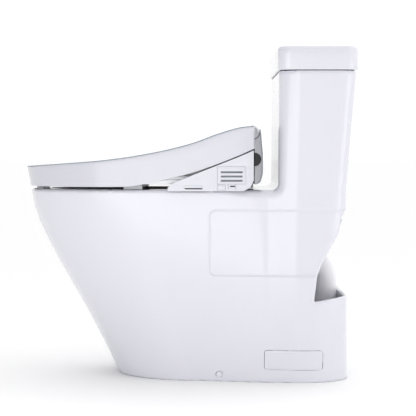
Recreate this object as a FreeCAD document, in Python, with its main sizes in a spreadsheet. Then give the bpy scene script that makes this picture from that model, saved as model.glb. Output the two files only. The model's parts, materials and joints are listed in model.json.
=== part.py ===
"""One-piece skirted toilet with a heated washing seat, as a parametric FreeCAD document.

Millimetres, +Z up. The front of the bowl points to -Y and the wall is behind, at +Y.
The origin is the centre of the drain outlet at floor level.
"""
import FreeCAD, Part
import math
import os
import re

import Sketcher
from FreeCAD import Matrix, Placement, Rotation, Vector

SIZES = {
    # Bowl and skirt: heights from the floor, reaches forward (front) and back (rear) of the drain.
    "rim_height": 412, "rim_front": 420, "rim_shoulder": 190, "rim_half": 178,
    "waist_half": 181, "waist_rear": 95, "deck_half": 190, "deck_flank": 240,
    "deck_rear": 270, "deck_rear_half": 166, "foot_front": 226, "foot_shoulder": 58,
    "foot_nose_half": 147, "foot_half": 178, "foot_flank": 180, "foot_rear_half": 105,
    "base_rear": 280, "nose_bulge": 0.85, "nose_joint": 150, "china_wall": 12, "rear_wall": 7, "deck_thickness": 14,
    # Panel sunk in each flank, the service notch behind it and the hatch below.
    "panel_depth": 3, "panel_front": 21, "panel_top": "=rim_height - 43", "panel_bottom": 228,
    "notch_top": "=rim_height - 49", "notch_sill": 174, "notch_depth": 78,
    "hatch_front": 97, "hatch_rear": 220, "hatch_bottom": 28, "hatch_top": 69, "hatch_proud": 2,
    "hatch_lip": 6,
    # Basin, water channel and trapway.
    "basin_half": 125, "basin_reach": 166, "basin_centre": 203, "basin_floor": 150, "basin_wall": 10,
    "channel_half": 38, "channel_height": 32, "channel_wall": 8,
    "trap_outside": 33, "trap_bore": 26, "trap_drop": 233, "trap_weir": "=rim_height - 150", "trap_dip": 118,
    "trap_end": 95, "outlet_bore": 38, "outlet_wall": 4, "outlet_depth": 40, "outlet_level": 48,
    "gasket_height": 3,
    # Tank and its lid.
    "tank_front": 126, "tank_rear": 289, "tank_top": "=rim_height + 251.5", "tank_half": 208, "tank_corner": 24,
    "tank_wall": 10, "tank_floor": 12, "cap_height": 51, "cap_overhang": 3, "cap_wall": 11,
    "cap_edge": 6, "cap_pad": 1.5,
    # Flush and fill valves.
    "valve_back": 205, "flush_hole": 32, "canister_radius": 33, "canister_height": 106,
    "canister_lift": 20, "valve_post": 6, "valve_flange": 42, "flange_height": 6, "seal_height": 3,
    "fill_side": 120, "shank_radius": 11, "shank_length": 40, "supply_radius": 10, "supply_length": 22, "shank_clearance": 2,
    "fill_tower": 10, "fill_height": 205, "float_radius": 28, "float_height": 50,
    "float_level": "=rim_height + 118", "slide_clearance": 0.6, "nut_radius": 20, "nut_height": 14,
    "lever_back": 168, "lever_level": "=tank_top - 41.5", "lever_shaft": 5, "crank_reach": 37,
    "crank_height": 8, "handle_length": 46, "handle_height": 16, "handle_thick": 9, "link_radius": 1.6,
    # Floor fixing.
    "bolt_spread": 152.4, "bolt_hole": 4, "bracket_half": 135, "bracket_depth": 94,
    "bracket_height": 6, "ear_height": 26, "ear_thick": 16, "ear_width": 28,
    "screw_radius": 3, "screw_head": 6, "screw_level": 15, "screw_clearance": 0.3,
    # Seat unit: base, covers and hinge line.
    "plate_height": 3, "mount_half": 95, "mount_front": 5, "mount_rear": 75, "mount_spread": 140,
    "mount_back": 20, "unit_travel": 30, "base_half": "=lid_half - 7", "unit_front": 33, "unit_rear": 72, "base_height": 3,
    "cover_half": 146, "cover_front": 46, "cover_top": "=rim_height + 107.5", "cover_wall": 2.5, "cover_back": 73,
    "hinge_back": 70.5, "hinge_level": "=rim_height + 122.5", "barrel_radius": 14, "barrel_gap": 1.5,
    "knuckle_radius": 8, "pin_radius": 4, "mount_clearance": 3, "cheek_thick": 8, "hinge_gap": 4, "arm_width": 16,
    "lug_width": 8, "housing_half": "=lid_half", "housing_back": 92, "housing_start": 74.3,
    "side_half": "=lid_half + 2", "side_depth": 7.5, "side_front": 109, "side_drop": 2,
    # Lid.
    "lid_front": 430, "lid_half": 190, "lid_lean": 8, "lid_shoulder": 185, "lid_wall": 3,
    "pad_radius": 6, "lid_edge_level": "=rim_height + 50", "lid_skirt_level": "=rim_height + 6", "lid_skirt_rear": 72.8,
    # Seat ring.
    "seat_front": "=lid_front - 14", "seat_half": "=lid_half - 11", "seat_shoulder": 190, "seat_rear": 52,
    "seat_bottom": "=rim_height + 12", "seat_split": "=seat_bottom + 10", "seat_top": "=seat_bottom + 22", "seat_wall": 3.5, "seat_edge": 5,
    "seat_hole_half": 105, "seat_hole_reach": 137, "seat_hole_centre": 212, "heater_thick": 0.8,
    "bumper_length": 40, "bumper_width": 14, "bumper_back": 164, "rest_gap": 0.4,
    # Washing nozzle.
    "nozzle_tilt": 38, "nozzle_radius": 7, "nozzle_head_radius": 8, "nozzle_head_length": 30,
    "nozzle_length": 120, "nozzle_tip_front": 34, "nozzle_tip_level": "=rim_height + 24", "nozzle_clearance": 2.5,
    "cradle_wall": 3, "motor_radius": 12, "motor_length": 22,
    # Pieces inside the unit.
    "heater_half": 88, "heater_depth": 60, "heater_height": 46, "fan_radius": 22, "fan_height": 26,
    "board_length": 88, "board_depth": 34, "board_thick": 1.6, "board_level": "=rim_height + 44",
    "duct_width": 26, "duct_height": 20, "duct_wall": 2, "block_length": 52,
    # Controls on the flank of the unit.
    "filter_front": 4, "filter_length": 60, "filter_bottom": "=rim_height + 13", "filter_height": 37,
    "filter_thick": 2.5, "louvre_height": 4, "louvre_pitch": 9, "louvre_length": 46,
    "cassette_depth": 6, "button_side": 11, "button_front": 4, "button_thick": 4,
    "button_travel": 2, "lens_front": 75, "lens_length": 40, "lens_height": 5.5,
    "grommet_radius": 14, "grommet_level": "=rim_height + 65", "inlet_radius": 9, "inlet_length": 24,
}

doc = FreeCAD.newDocument("WashletToilet")
sheet = doc.addObject("Spreadsheet::Sheet", "Sizes")
for row, alias in enumerate(SIZES, start=1):
    sheet.set(f"A{row}", alias)
    sheet.setAlias(f"B{row}", alias)
for row, number in enumerate(SIZES.values(), start=1):
    sheet.set(f"B{row}", str(number))
doc.recompute()

REACH = 2000        # longer than the whole toilet, for tools that cut right through
SAMPLES = 16        # points along a nose curve
parts_made = []


# ---------------------------------------------------------------- helpers

def size(name):
    """The number in the sheet's cell with this alias."""
    return float(sheet.get(name))


def bind(item, prop, text):
    """Tie one property to a formula written with the sheet's aliases."""
    formula = re.sub(r"[a-z_]{3,}", lambda word: f"Sizes.{word.group()}"
                     if word.group() in SIZES else word.group(), str(text))
    item.setExpression(prop, formula)


def node(item):
    """Keep one finished sub-part for the export, under its own label."""
    item.Label = item.Name
    parts_made.append(item)
    return item


def block(name, x_range, y_range, z_range):
    """A box between pairs of formulas."""
    item = doc.addObject("Part::Box", name)
    ranges = (x_range, y_range, z_range)
    for prop, axis, (low, high) in zip(("Length", "Width", "Height"), "xyz", ranges):
        bind(item, prop, f"({high}) - ({low})")
        bind(item, f"Placement.Base.{axis}", low)
    return item


def rod(name, radius, start, length, axis="z"):
    """A cylinder from a start point of formulas, along +X, +Y or +Z."""
    item = doc.addObject("Part::Cylinder", name)
    turn = {"x": Rotation(Vector(0, 1, 0), 90), "y": Rotation(Vector(1, 0, 0), -90),
            "z": Rotation()}[axis]
    item.Placement = Placement(Vector(), turn)
    bind(item, "Radius", radius)
    bind(item, "Height", length)
    for letter, place in zip("xyz", start):
        bind(item, f"Placement.Base.{letter}", place)
    return item


def cut(name, base, *tools):
    """What is left of one solid once the tools are taken away."""
    item = doc.addObject("Part::Cut", name)
    item.Base = base
    item.Tool = tools[0] if len(tools) == 1 else fuse(f"{name}_tools", *tools)
    return item


def fuse(name, *pieces):
    """Several solids as one."""
    item = doc.addObject("Part::MultiFuse", name)
    item.Shapes = list(pieces)
    return item


def feature(name, shape):
    """A solid whose curved shape is made with Part's own functions."""
    item = doc.addObject("Part::Feature", name)
    item.Shape = shape
    item.Placement = Placement()
    return item


def sketched(name, plane, outline, circles, level, thickness):
    """A body padded from one sketch on an origin plane; formulas give every point."""
    body = doc.addObject("PartDesign::Body", name)
    sketch = body.newObject("Sketcher::SketchObject", f"{name}_sketch")
    support = next(part for part in body.Origin.OriginFeatures if part.Role == plane)
    sketch.AttachmentSupport = [(support, "")]
    sketch.MapMode = "FlatFace"
    bind(sketch, "AttachmentOffset.Base.z", level)
    count = len(outline)
    spread = [Vector(math.cos(2 * math.pi * n / count), math.sin(2 * math.pi * n / count), 0) * 50
              for n in range(count)]
    numbers = [(value_of(across), value_of(up)) for across, up in outline]
    for index in range(count):
        first = Vector(*numbers[index], 0)
        second = Vector(*numbers[(index + 1) % count], 0)
        sketch.addGeometry(Part.LineSegment(first, second) if first != second
                           else Part.LineSegment(spread[index], spread[index - 1]), False)
    for index in range(count):
        sketch.addConstraint(Sketcher.Constraint("Coincident", index, 2, (index + 1) % count, 1))
    for index, point in enumerate(outline):
        pin_point(sketch, index, 1, point, numbers[index])
    for across, up, radius in circles:
        centre = Vector(value_of(across), value_of(up), 0)
        ring = sketch.addGeometry(Part.Circle(centre, Vector(0, 0, 1), value_of(radius)), False)
        pin_point(sketch, ring, 3, (across, up), (centre.x, centre.y))
        held = sketch.addConstraint(Sketcher.Constraint("Radius", ring, value_of(radius)))
        bind(sketch, f"Constraints[{held}]", radius)
    pad = body.newObject("PartDesign::Pad", f"{name}_pad")
    pad.Profile = sketch
    bind(pad, "Length", thickness)
    return body


def pin_point(sketch, index, end, point, numbers):
    """Hold one point of a sketch at two formulas."""
    for kind, text, number in zip(("DistanceX", "DistanceY"), point, numbers):
        held = sketch.addConstraint(Sketcher.Constraint(kind, index, end, number))
        bind(sketch, f"Constraints[{held}]", text)


def value_of(text):
    """The number that a formula written with the sheet's aliases gives now."""
    words = re.split(r"([a-z_]{3,})", str(text))
    filled = "".join(repr(size(word)) if word in SIZES else word for word in words)
    return float(FreeCAD.Units.Quantity(filled).Value) if filled else 0.0


def prism(outline, x_low, x_high):
    """A solid between two X planes from an outline of (y, z) points."""
    points = [Vector(x_low, across, up) for across, up in outline]
    face = Part.Face(Part.makePolygon(points + points[:1]))
    return face.extrude(Vector(x_high - x_low, 0, 0))


def inset(outline, walls):
    """The outline with each edge moved inwards by its own wall (negative moves it out)."""
    area = sum(a[0] * b[1] - b[0] * a[1] for a, b in zip(outline, outline[1:] + outline[:1]))
    side = 1 if area > 0 else -1
    lines = []
    for (start, end), wall in zip(zip(outline, outline[1:] + outline[:1]), walls):
        length = math.dist(start, end)
        along = ((end[0] - start[0]) / length, (end[1] - start[1]) / length)
        shift = (-along[1] * wall * side, along[0] * wall * side)
        lines.append(((start[0] + shift[0], start[1] + shift[1]), along))
    moved = []
    for (p, d), (q, e) in zip(lines[-1:] + lines[:-1], lines):
        turn = d[0] * e[1] - d[1] * e[0]
        step = ((q[0] - p[0]) * e[1] - (q[1] - p[1]) * e[0]) / turn
        moved.append((p[0] + d[0] * step, p[1] + d[1] * step))
    return moved


def mirrored(shape):
    """The same shape on the other side of the middle plane."""
    return shape.mirror(Vector(), Vector(1, 0, 0))


def both_sides(shape):
    """A shape and its mirror image, as one group of solids."""
    return Part.makeCompound([shape, mirrored(shape)])


def ellipse_wire(level, centre, half, reach):
    """A level ellipse, `half` wide each way and `reach` long each way."""
    wire = Part.Wire(Part.Edge(Part.Circle(Vector(), Vector(0, 0, 1), 1)))
    grow = Matrix()
    grow.scale(half, reach, 1)
    stretched = wire.transformGeometry(grow)
    stretched.translate(Vector(0, centre, level))
    return stretched


def nosed_wire(level, front, shoulder, half, stations, corner):
    """A level outline: a half-ellipse nose, straight stretches and rounded rear corners.

    `stations` are (half width, y) points behind the nose; `corner` is where the rear corner's
    quarter ellipse ends, as (half width, y).
    """
    def spline(points):
        curve = Part.BSplineCurve()
        curve.interpolate(points)
        return curve.toShape()

    turns = [math.pi * n / SAMPLES - math.pi / 2 for n in range(SAMPLES + 1)]
    nose = [Vector(half * math.sin(a), shoulder - (shoulder - front) * math.cos(a), level)
            for a in turns]
    right = [Vector(half, shoulder, level)] + [Vector(x, y, level) for x, y in stations]
    start, end = right[-1], Vector(corner[0], corner[1], level)
    quarter = [Vector(end.x + (start.x - end.x) * math.cos(a), start.y + (end.y - start.y) * math.sin(a),
                      level) for a in (math.pi * n / 12 for n in range(7))]
    flip = [Vector(-p.x, p.y, level) for p in quarter]
    edges = [spline(nose)]
    edges += [Part.LineSegment(a, b).toShape() for a, b in zip(right, right[1:])]
    edges.append(spline(quarter))
    edges.append(Part.LineSegment(quarter[-1], flip[-1]).toShape())
    edges.append(spline(flip[::-1]))
    left = [Vector(-p.x, p.y, level) for p in right]
    edges += [Part.LineSegment(b, a).toShape() for a, b in reversed(list(zip(left, left[1:])))]
    return Part.Wire(edges)


def rounded_wire(level, half, front, rear, corner):
    """A level rectangle with rounded corners."""
    x, y0, y1, r = half, front, rear, corner
    q = r * (1 - math.sqrt(0.5))
    arcs = [((x - r, y0), (x - q, y0 + q), (x, y0 + r)), ((x, y1 - r), (x - q, y1 - q), (x - r, y1)),
            ((r - x, y1), (q - x, y1 - q), (-x, y1 - r)), ((-x, y0 + r), (q - x, y0 + q), (r - x, y0))]
    points = [[Vector(px, py, level) for px, py in arc] for arc in arcs]
    edges = []
    for index, arc in enumerate(points):
        edges.append(Part.Arc(*arc).toShape())
        edges.append(Part.LineSegment(arc[2], points[(index + 1) % 4][0]).toShape())
    return Part.Wire(edges)


def routed_wire(points, radii):
    """A path in the middle plane: straight runs joined by tangent arcs."""
    edges, here = [], Vector(0, *points[0])
    for index, radius in enumerate(radii, start=1):
        corner = Vector(0, *points[index])
        back = (Vector(0, *points[index - 1]) - corner).normalize()
        ahead = (Vector(0, *points[index + 1]) - corner).normalize()
        half_turn = back.getAngle(ahead) / 2
        reach = radius / math.tan(half_turn)
        middle = corner + (back + ahead).normalize() * (radius / math.sin(half_turn) - radius)
        edges.append(Part.LineSegment(here, corner + back * reach).toShape())
        here = corner + ahead * reach
        edges.append(Part.Arc(corner + back * reach, middle, here).toShape())
    edges.append(Part.LineSegment(here, Vector(0, *points[-1])).toShape())
    return Part.Wire(edges)


def pipe(path, radius):
    """A round bar along a path."""
    start = path.Edges[0]
    point = start.valueAt(start.FirstParameter)
    along = start.tangentAt(start.FirstParameter)
    ring = Part.Wire(Part.Edge(Part.Circle(point, along, radius)))
    return path.makePipeShell([ring], True, True)


def box(x_low, x_high, y_low, y_high, z_low, z_high):
    """A plain box between limits, as a shape."""
    return Part.makeBox(x_high - x_low, y_high - y_low, z_high - z_low, Vector(x_low, y_low, z_low))


# ---------------------------------------------------------------- china

def skirt_wire(share, grow, rear_grow, level=None):
    """The skirt's outline at a share of the rim's height, grown sideways and to the rear."""
    def mix(low, high):
        return low + (high - low) * share

    bulge = share + size("nose_bulge") * share ** 3 * (1 - share)
    front = size("foot_front") + (size("rim_front") - size("foot_front")) * bulge
    shoulder = mix(size("foot_shoulder"), size("rim_shoulder"))
    half = mix(size("foot_nose_half"), size("rim_half")) + grow
    foot = size("foot_half")
    stations = [(mix(foot - 7, size("waist_half")) + grow, size("waist_rear")),
                (mix(foot - 4, size("deck_half")) + grow, size("tank_front") + 9),
                (mix(foot, size("deck_half")) + grow, mix(size("foot_flank"), size("deck_flank")))]
    corner = (mix(size("foot_rear_half"), size("deck_rear_half")) + grow,
              mix(size("base_rear"), size("deck_rear")) + rear_grow)
    height = size("rim_height") * share if level is None else level
    return nosed_wire(height, -front - grow, -shoulder, half, stations, corner)


def skirt_solid(grow, rear_grow, shares):
    """The skirt as a solid, through its outlines at several shares of the height."""
    return Part.makeLoft([skirt_wire(share, grow, rear_grow) for share in shares], True, False)


def basin_solid(grow):
    """The basin's space, from the rim down to the sump; `grow` makes its outer face."""
    rim, floor = size("rim_height"), size("basin_floor")
    half, reach, centre = size("basin_half"), size("basin_reach"), -size("basin_centre")
    rows = [(1.0, 1.0, 1.0, 0), (0.69, 0.9, 0.85, 2), (0.38, 0.64, 0.58, 24), (0.15, 0.42, 0.38, 46),
            (0.0, 0.3, 0.26, 60)]
    wires = []
    for share, wide, long, back in rows:
        level = floor - grow + (rim - floor + grow) * share
        wires.append(ellipse_wire(level, centre + back, half * wide + grow, reach * long + grow))
    return Part.makeLoft(wires, True, False)


def trap_path():
    """The trapway's middle line: out of the sump, over the weir and down behind."""
    sump = -size("basin_centre") + 62
    points = [(sump, size("basin_floor") + 10), (sump + 62, size("trap_dip")),
              (sump + 290, size("trap_weir")), (size("trap_drop"), size("trap_weir") - 26),
              (size("trap_drop"), size("trap_end"))]
    return routed_wire(points, (42, 46, 42))


def panel_outline():
    """The side panel seen from the flank, as (y, z) points."""
    top, bottom, front = size("panel_top"), size("panel_bottom"), -size("panel_front")
    rear = size("base_rear")
    round_off = 11
    corner = round_off * (1 - math.sqrt(0.5))
    return [(front, bottom + round_off), (front + corner, bottom + corner), (front + round_off, bottom),
            (rear - 72, bottom), (rear + 40, bottom), (rear + 40, top), (front + round_off, top),
            (front + corner, top - corner), (front, top - round_off)]


def notch_outline():
    """The service notch behind the panel, open to the wall, as (y, z) points."""
    top, sill, rear = size("notch_top"), size("notch_sill"), size("base_rear")
    deep = size("notch_depth")
    return [(rear + 60, top), (rear - 14, top), (rear - 28, top - 49), (rear - 42, top - 72),
            (rear - 60, top - 104), (rear - 72, top - 135), (rear - deep, sill), (rear + 60, sill + 21)]


def hatch_boxes(margin):
    """The hatch's window on both flanks, made larger by a margin."""
    window = box(60, 320, size("hatch_front") - margin, size("hatch_rear") + margin,
                 size("hatch_bottom") - margin, size("hatch_top") + margin)
    return window, mirrored(window)


def make_bowl():
    """The bowl, its skirt and deck, the water channel and the trapway behind."""
    shares = (0, 0.25, 0.6, 0.89, 1)
    rim, deck, wall = size("rim_height"), size("deck_thickness"), size("china_wall")
    skin = skirt_solid(0, 0, shares)
    inner = skirt_solid(-wall, -size("rear_wall"), (-0.01, 0.25, 0.6, 0.85, (rim - deck) / rim))
    depth = size("panel_depth")
    recess = prism(panel_outline(), -REACH, REACH).cut(skirt_solid(-depth, -depth, shares))
    basin_outer, basin_inner = basin_solid(size("basin_wall")), basin_solid(0)
    half, tall, thick = size("channel_half"), size("channel_height"), size("channel_wall")
    back, front = size("valve_back") + size("flush_hole"), -size("basin_centre")
    under = rim - deck
    duct = box(-half - thick, half + thick, front, back + thick, under - tall - thick, under + 1)
    duct_space = box(-half, half, front, back, under - tall, under)
    trap = pipe(trap_path(), size("trap_outside"))
    trap_space = pipe(trap_path(), size("trap_bore"))
    shell = skin.cut(inner).cut(recess).fuse([basin_outer.common(skin), duct])
    holes = [basin_inner, duct_space, trap_space, prism(notch_outline(), -REACH, REACH)]
    holes.append(Part.makeCylinder(size("flush_hole"), deck + 2, Vector(0, size("valve_back"), under - 1)))
    holes.append(Part.makeCylinder(size("shank_radius") + size("shank_clearance"), deck + 2,
                                   Vector(-size("fill_side"), size("valve_back"), under - 1)))
    for side in (-1, 1):
        holes.append(Part.makeCylinder(size("pin_radius") + size("mount_clearance"), deck + 2,
                                       Vector(side * size("mount_spread") / 2, size("mount_back"), under - 1)))
        for radius, start in ((size("screw_radius"), size("bracket_half") / 2), (size("screw_head"), screw_seat())):
            holes.append(Part.makeCylinder(radius + size("screw_clearance"), size("bracket_half"),
                                           Vector(side * start, 0, size("screw_level")), Vector(side, 0, 0)))
    holes += hatch_boxes(-size("hatch_lip"))
    bowl = shell.cut(holes)
    above = box(-REACH, REACH, -REACH, REACH, under, REACH)
    lower = bowl.cut(above)
    nose = box(-REACH, REACH, -REACH, -size("nose_joint"), -1, REACH)
    right = box(0, REACH, -size("nose_joint"), REACH, -1, REACH)
    core = basin_outer.fuse(duct)
    wall_round = lower.cut(core)
    node(feature("bowl_deck", bowl.common(above).removeSplitter()))
    node(feature("bowl_basin", lower.common(basin_outer).removeSplitter()))
    node(feature("flush_channel", lower.common(duct).cut(basin_outer).removeSplitter()))
    node(feature("skirt_nose", wall_round.common(nose).removeSplitter()))
    node(feature("skirt_right", wall_round.common(right).removeSplitter()))
    node(feature("skirt_left", wall_round.cut([nose, right]).removeSplitter()))
    node(feature("trapway", trap.cut([basin_outer, trap_space])))
    proud = size("hatch_proud")
    shallow = (0, 0.25, 0.6)
    for name, window, plug in zip(("access_cover_left", "access_cover_right"),
                                  reversed(hatch_boxes(0)), reversed(hatch_boxes(-size("hatch_lip") - 0.4))):
        plate = skirt_solid(proud, 0, shallow).common(window).cut(skin)
        lip = skin.common(plug).cut(skirt_solid(-4, 0, shallow))
        node(feature(name, plate.fuse(lip)))


def make_tank():
    """The tank above the deck, its lift-off lid and the lid's rubber pads."""
    base, top, wall = size("rim_height"), size("tank_top"), size("tank_wall")
    corner = size("tank_corner")

    def sides(level, grow):
        share = (level - base) / (top - base)
        half = size("deck_half") + (size("tank_half") - size("deck_half")) * share + grow
        rear = size("deck_rear") + (size("tank_rear") - size("deck_rear")) * share + grow
        return rounded_wire(level, half, size("tank_front") - grow, rear, corner + min(grow, 0))

    outside = Part.makeLoft([sides(base, 0), sides(top, 0)], True, True)
    inside = Part.makeLoft([sides(base + size("tank_floor"), -wall), sides(top + 1, -wall)], True, True)
    back = size("valve_back")
    holes = [Part.makeCylinder(size("flush_hole"), 40, Vector(0, back, base - 10)),
             Part.makeCylinder(size("shank_radius") + size("shank_clearance"), 40,
                               Vector(-size("fill_side"), back, base - 10)),
             Part.makeCylinder(size("lever_shaft") + 1, size("tank_corner") * 2,
                               Vector(-size("tank_half") - size("tank_corner"), size("lever_back"),
                                      size("lever_level")), Vector(1, 0, 0))]
    node(feature("tank_casting", outside.cut([inside] + holes)))

    over, pad = size("cap_overhang"), size("cap_pad")
    foot, head = top + pad, top + pad + size("cap_height")
    half, front, rear = size("tank_half") + over, size("tank_front") - over, size("tank_rear") + over
    cap = Part.Face(rounded_wire(foot, half, front, rear, corner)).extrude(Vector(0, 0, head - foot))
    crown = [edge for edge in cap.Edges if edge.BoundBox.ZMin > head - 0.01]
    cap = cap.makeFillet(size("cap_edge"), crown)
    thick = size("cap_wall") + over
    hollow = Part.Face(rounded_wire(foot - 1, half - thick, front + thick, rear - thick, corner - wall / 2))
    cap = cap.cut(hollow.extrude(Vector(0, 0, head - foot - size("cap_wall") + 1)))
    node(feature("tank_lid", cap))
    pads = []
    for x in (-1, 1):
        for y in (size("tank_front") + wall / 2, size("tank_rear") - wall / 2):
            pads.append(Part.makeCylinder(wall / 2 - 1, pad, Vector(x * (size("tank_half") - 60), y, top)))
    node(feature("tank_lid_pads", Part.makeCompound(pads)))


def make_outlet():
    """The plastic adapter from the trapway's end forward to the floor drain, and its gasket."""
    outside, bore = size("trap_outside"), size("trap_bore")
    top = size("trap_end") - size("gasket_height")
    level = size("outlet_level")
    path = routed_wire([(size("trap_drop"), top), (size("trap_drop"), level), (0, level),
                        (0, size("outlet_depth") / 2)], (top - level - 4, 20))
    spigot = Part.makeCylinder(size("outlet_bore") + size("outlet_wall"), size("outlet_depth") + 8)
    space = Part.makeCylinder(size("outlet_bore"), size("outlet_depth"))
    body = pipe(path, outside).fuse(spigot).cut([pipe(path, bore), space])
    node(feature("outlet_adapter", body))
    ring = rod("outlet_gasket_ring", "trap_outside", ("0", "trap_drop", "trap_end - gasket_height"),
               "gasket_height")
    hole = rod("outlet_gasket_hole", "trap_bore", ("0", "trap_drop", "trap_end - gasket_height"),
               "gasket_height")
    node(cut("outlet_gasket", ring, hole))


def screw_seat():
    """How far out the side screws' heads sit, in a counterbore of the skirt beside the drain."""
    shoulder, start = size("foot_shoulder"), size("foot_nose_half")
    flare = (size("foot_half") - 7 - start) * shoulder / (shoulder + size("waist_rear"))
    return start + flare - 3


def make_floor_fixing():
    """The floor bracket round the drain, and the screws that hold the skirt to it."""
    half, deep = "bracket_half", "bracket_depth / 2"
    outline = [(f"-{half}", f"-{deep}"), (half, f"-{deep}"), (half, deep), (f"-{half}", deep)]
    holes = [("0", "0", "outlet_bore + outlet_wall + 1"), ("-bolt_spread / 2", "0", "bolt_hole"),
             ("bolt_spread / 2", "0", "bolt_hole")]
    plate = sketched("bracket_plate", "XY_Plane", outline, holes, "0", "bracket_height")
    ears = [block(f"bracket_ear_{n}", (low, high), ("-ear_width / 2", "ear_width / 2"),
                  ("bracket_height", "ear_height"))
            for n, (low, high) in enumerate(((f"-{half}", f"ear_thick - {half}"),
                                             (f"{half} - ear_thick", half)))]
    bores = [rod(f"bracket_bore_{n}", "screw_radius", (start, "0", "screw_level"), "bracket_half", "x")
             for n, start in enumerate(("-bracket_half - ear_thick", "ear_thick"))]
    node(cut("floor_bracket", fuse("bracket_blank", plate, *ears), *bores))
    screws = []
    for side in (-1, 1):
        start, seat = size("bracket_half") - size("ear_thick"), screw_seat()
        level = size("screw_level")
        shank = Part.makeCylinder(size("screw_radius"), seat - start, Vector(side * start, 0, level),
                                  Vector(side, 0, 0))
        head = Part.makeCylinder(size("screw_head"), size("screw_radius"), Vector(side * seat, 0, level),
                                 Vector(side, 0, 0))
        screws.append(shank.fuse(head))
    node(feature("side_screws", Part.makeCompound(screws)))


# ---------------------------------------------------------------- valves in the tank

def make_valves():
    """The fill valve with its float, the canister flush valve and the trip lever."""
    floor = "rim_height + tank_floor"
    back = "valve_back"
    side = "-fill_side"
    shank = rod("fill_shank", "shank_radius", (side, back, f"{floor} - shank_length"), "shank_length")
    thread = rod("supply_thread", "supply_radius", (side, back, f"{floor} - shank_length - supply_length"),
                 "supply_length")
    flange = rod("fill_flange", "nut_radius", (side, back, floor), "6")
    tower = rod("fill_tower_tube", "fill_tower", (side, back, floor), "fill_height")
    head = rod("fill_head", "fill_tower + 7", (side, back, f"{floor} + fill_height - 24"), "24")
    node(fuse("fill_valve_body", shank, thread, flange, tower, head))
    nut = rod("fill_nut_outside", "nut_radius", (side, back, "rim_height - deck_thickness - nut_height"),
              "nut_height")
    bore = rod("fill_nut_bore", "shank_radius", (side, back, "rim_height - deck_thickness - nut_height"),
               "nut_height")
    node(cut("fill_valve_nut", nut, bore))
    outer = rod("float_outside", "float_radius", (side, back, "float_level"), "float_height")
    inner = rod("float_bore", "fill_tower + slide_clearance", (side, back, "float_level"), "float_height")
    node(cut("fill_valve_float", outer, inner))

    base = f"{floor} + seal_height"
    flange = rod("flush_flange", "valve_flange", ("0", back, base), "flange_height")
    tail = rod("flush_tail", "flush_hole - 1", ("0", back, "rim_height - deck_thickness"),
               "deck_thickness + tank_floor + seal_height")
    mouth = rod("flush_mouth", "flush_hole - 5", ("0", back, "rim_height - deck_thickness"), "80")
    bridge = block("flush_bridge", ("2 - flush_hole", "flush_hole - 2"), (f"{back} - 4", f"{back} + 4"),
                   (base, f"{base} + flange_height"))
    post = rod("flush_post", "valve_post", ("0", back, base),
               "flange_height + seal_height + canister_height + canister_lift + 12")
    ring = cut("flush_ring", fuse("flush_ring_blank", flange, tail), mouth)
    node(fuse("flush_valve_base", ring, bridge, post))
    gasket = rod("flush_gasket_outside", "valve_flange", ("0", back, floor), "seal_height")
    opening = rod("flush_gasket_bore", "flush_hole - 1", ("0", back, floor), "seal_height")
    node(cut("flush_valve_gasket", gasket, opening))
    seat = f"{base} + flange_height + 0.4"
    seal = rod("flush_seal_outside", "canister_radius", ("0", back, seat), "seal_height")
    hole = rod("flush_seal_bore", "canister_radius - 8", ("0", back, seat), "seal_height")
    node(cut("flush_valve_seal", seal, hole))
    can = rod("canister_outside", "canister_radius", ("0", back, f"{seat} + seal_height"), "canister_height")
    space = rod("canister_space", "canister_radius - 3", ("0", back, f"{seat} + seal_height"),
                "canister_height - 4")
    slot = rod("canister_bore", "valve_post + slide_clearance", ("0", back, seat), "canister_height + 20")
    node(cut("flush_valve_canister", can, space, slot))
    top = f"{seat} + seal_height + canister_height"
    stem = rod("link_stem", "link_radius", ("canister_radius - 6", back, top),
               f"lever_level - crank_height / 2 - 3 - ({top})")
    foot = rod("link_foot", "link_radius * 2", ("canister_radius - 6", back, top), "3")
    node(fuse("lift_link", stem, foot))

    line = ("lever_back", "lever_level")
    shaft = rod("lever_rod", "lever_shaft - 1", ("-tank_half + tank_wall + 4", *line),
                "tank_half - tank_wall + canister_radius", "x")
    crank = block("lever_crank", ("canister_radius - 12", "canister_radius"),
                  ("lever_back - crank_height / 2", "lever_back + crank_reach + 6"),
                  ("lever_level - crank_height / 2", "lever_level + crank_height / 2"))
    node(fuse("trip_lever_arm", shaft, crank))
    spindle = rod("lever_spindle", "lever_shaft", ("-tank_half - 2", *line), "tank_wall + 6", "x")
    plate = block("lever_plate", ("-tank_half - 2 - handle_thick", "-tank_half - 2"),
                  ("lever_back + handle_height / 2 - handle_length", "lever_back + handle_height / 2"),
                  ("lever_level - handle_height / 2", "lever_level + handle_height / 2"))
    node(fuse("trip_lever_handle", spindle, plate))

    hook = size("rim_height") + size("tank_floor") + size("fill_height")
    high = hook - 14
    start = Vector(-size("fill_side") + size("fill_tower") + 7, size("valve_back"), high)
    run = size("fill_side") - size("fill_tower") - 7 - 45
    tube = Part.makeCylinder(3, run, start, Vector(1, 0, 0))
    drop_start = start + Vector(run, 0, 0)
    ball = Part.makeSphere(3, drop_start)
    drop = Part.makeCylinder(3, 40, drop_start - Vector(0, 0, 40), Vector(0, 0, 1))
    node(feature("refill_tube", tube.fuse([ball, drop]).removeSplitter()))


# ---------------------------------------------------------------- seat unit

NOZZLE_AXIS = Vector(0, -math.cos(math.radians(size("nozzle_tilt"))),
                     -math.sin(math.radians(size("nozzle_tilt"))))


def nozzle_bar(radius, from_tip, to_tip):
    """A round bar on the nozzle's line, between two distances behind its tip."""
    tip = Vector(0, -size("nozzle_tip_front"), size("nozzle_tip_level"))
    start = tip - NOZZLE_AXIS * to_tip
    return Part.makeCylinder(radius, to_tip - from_tip, start, NOZZLE_AXIS)


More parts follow.
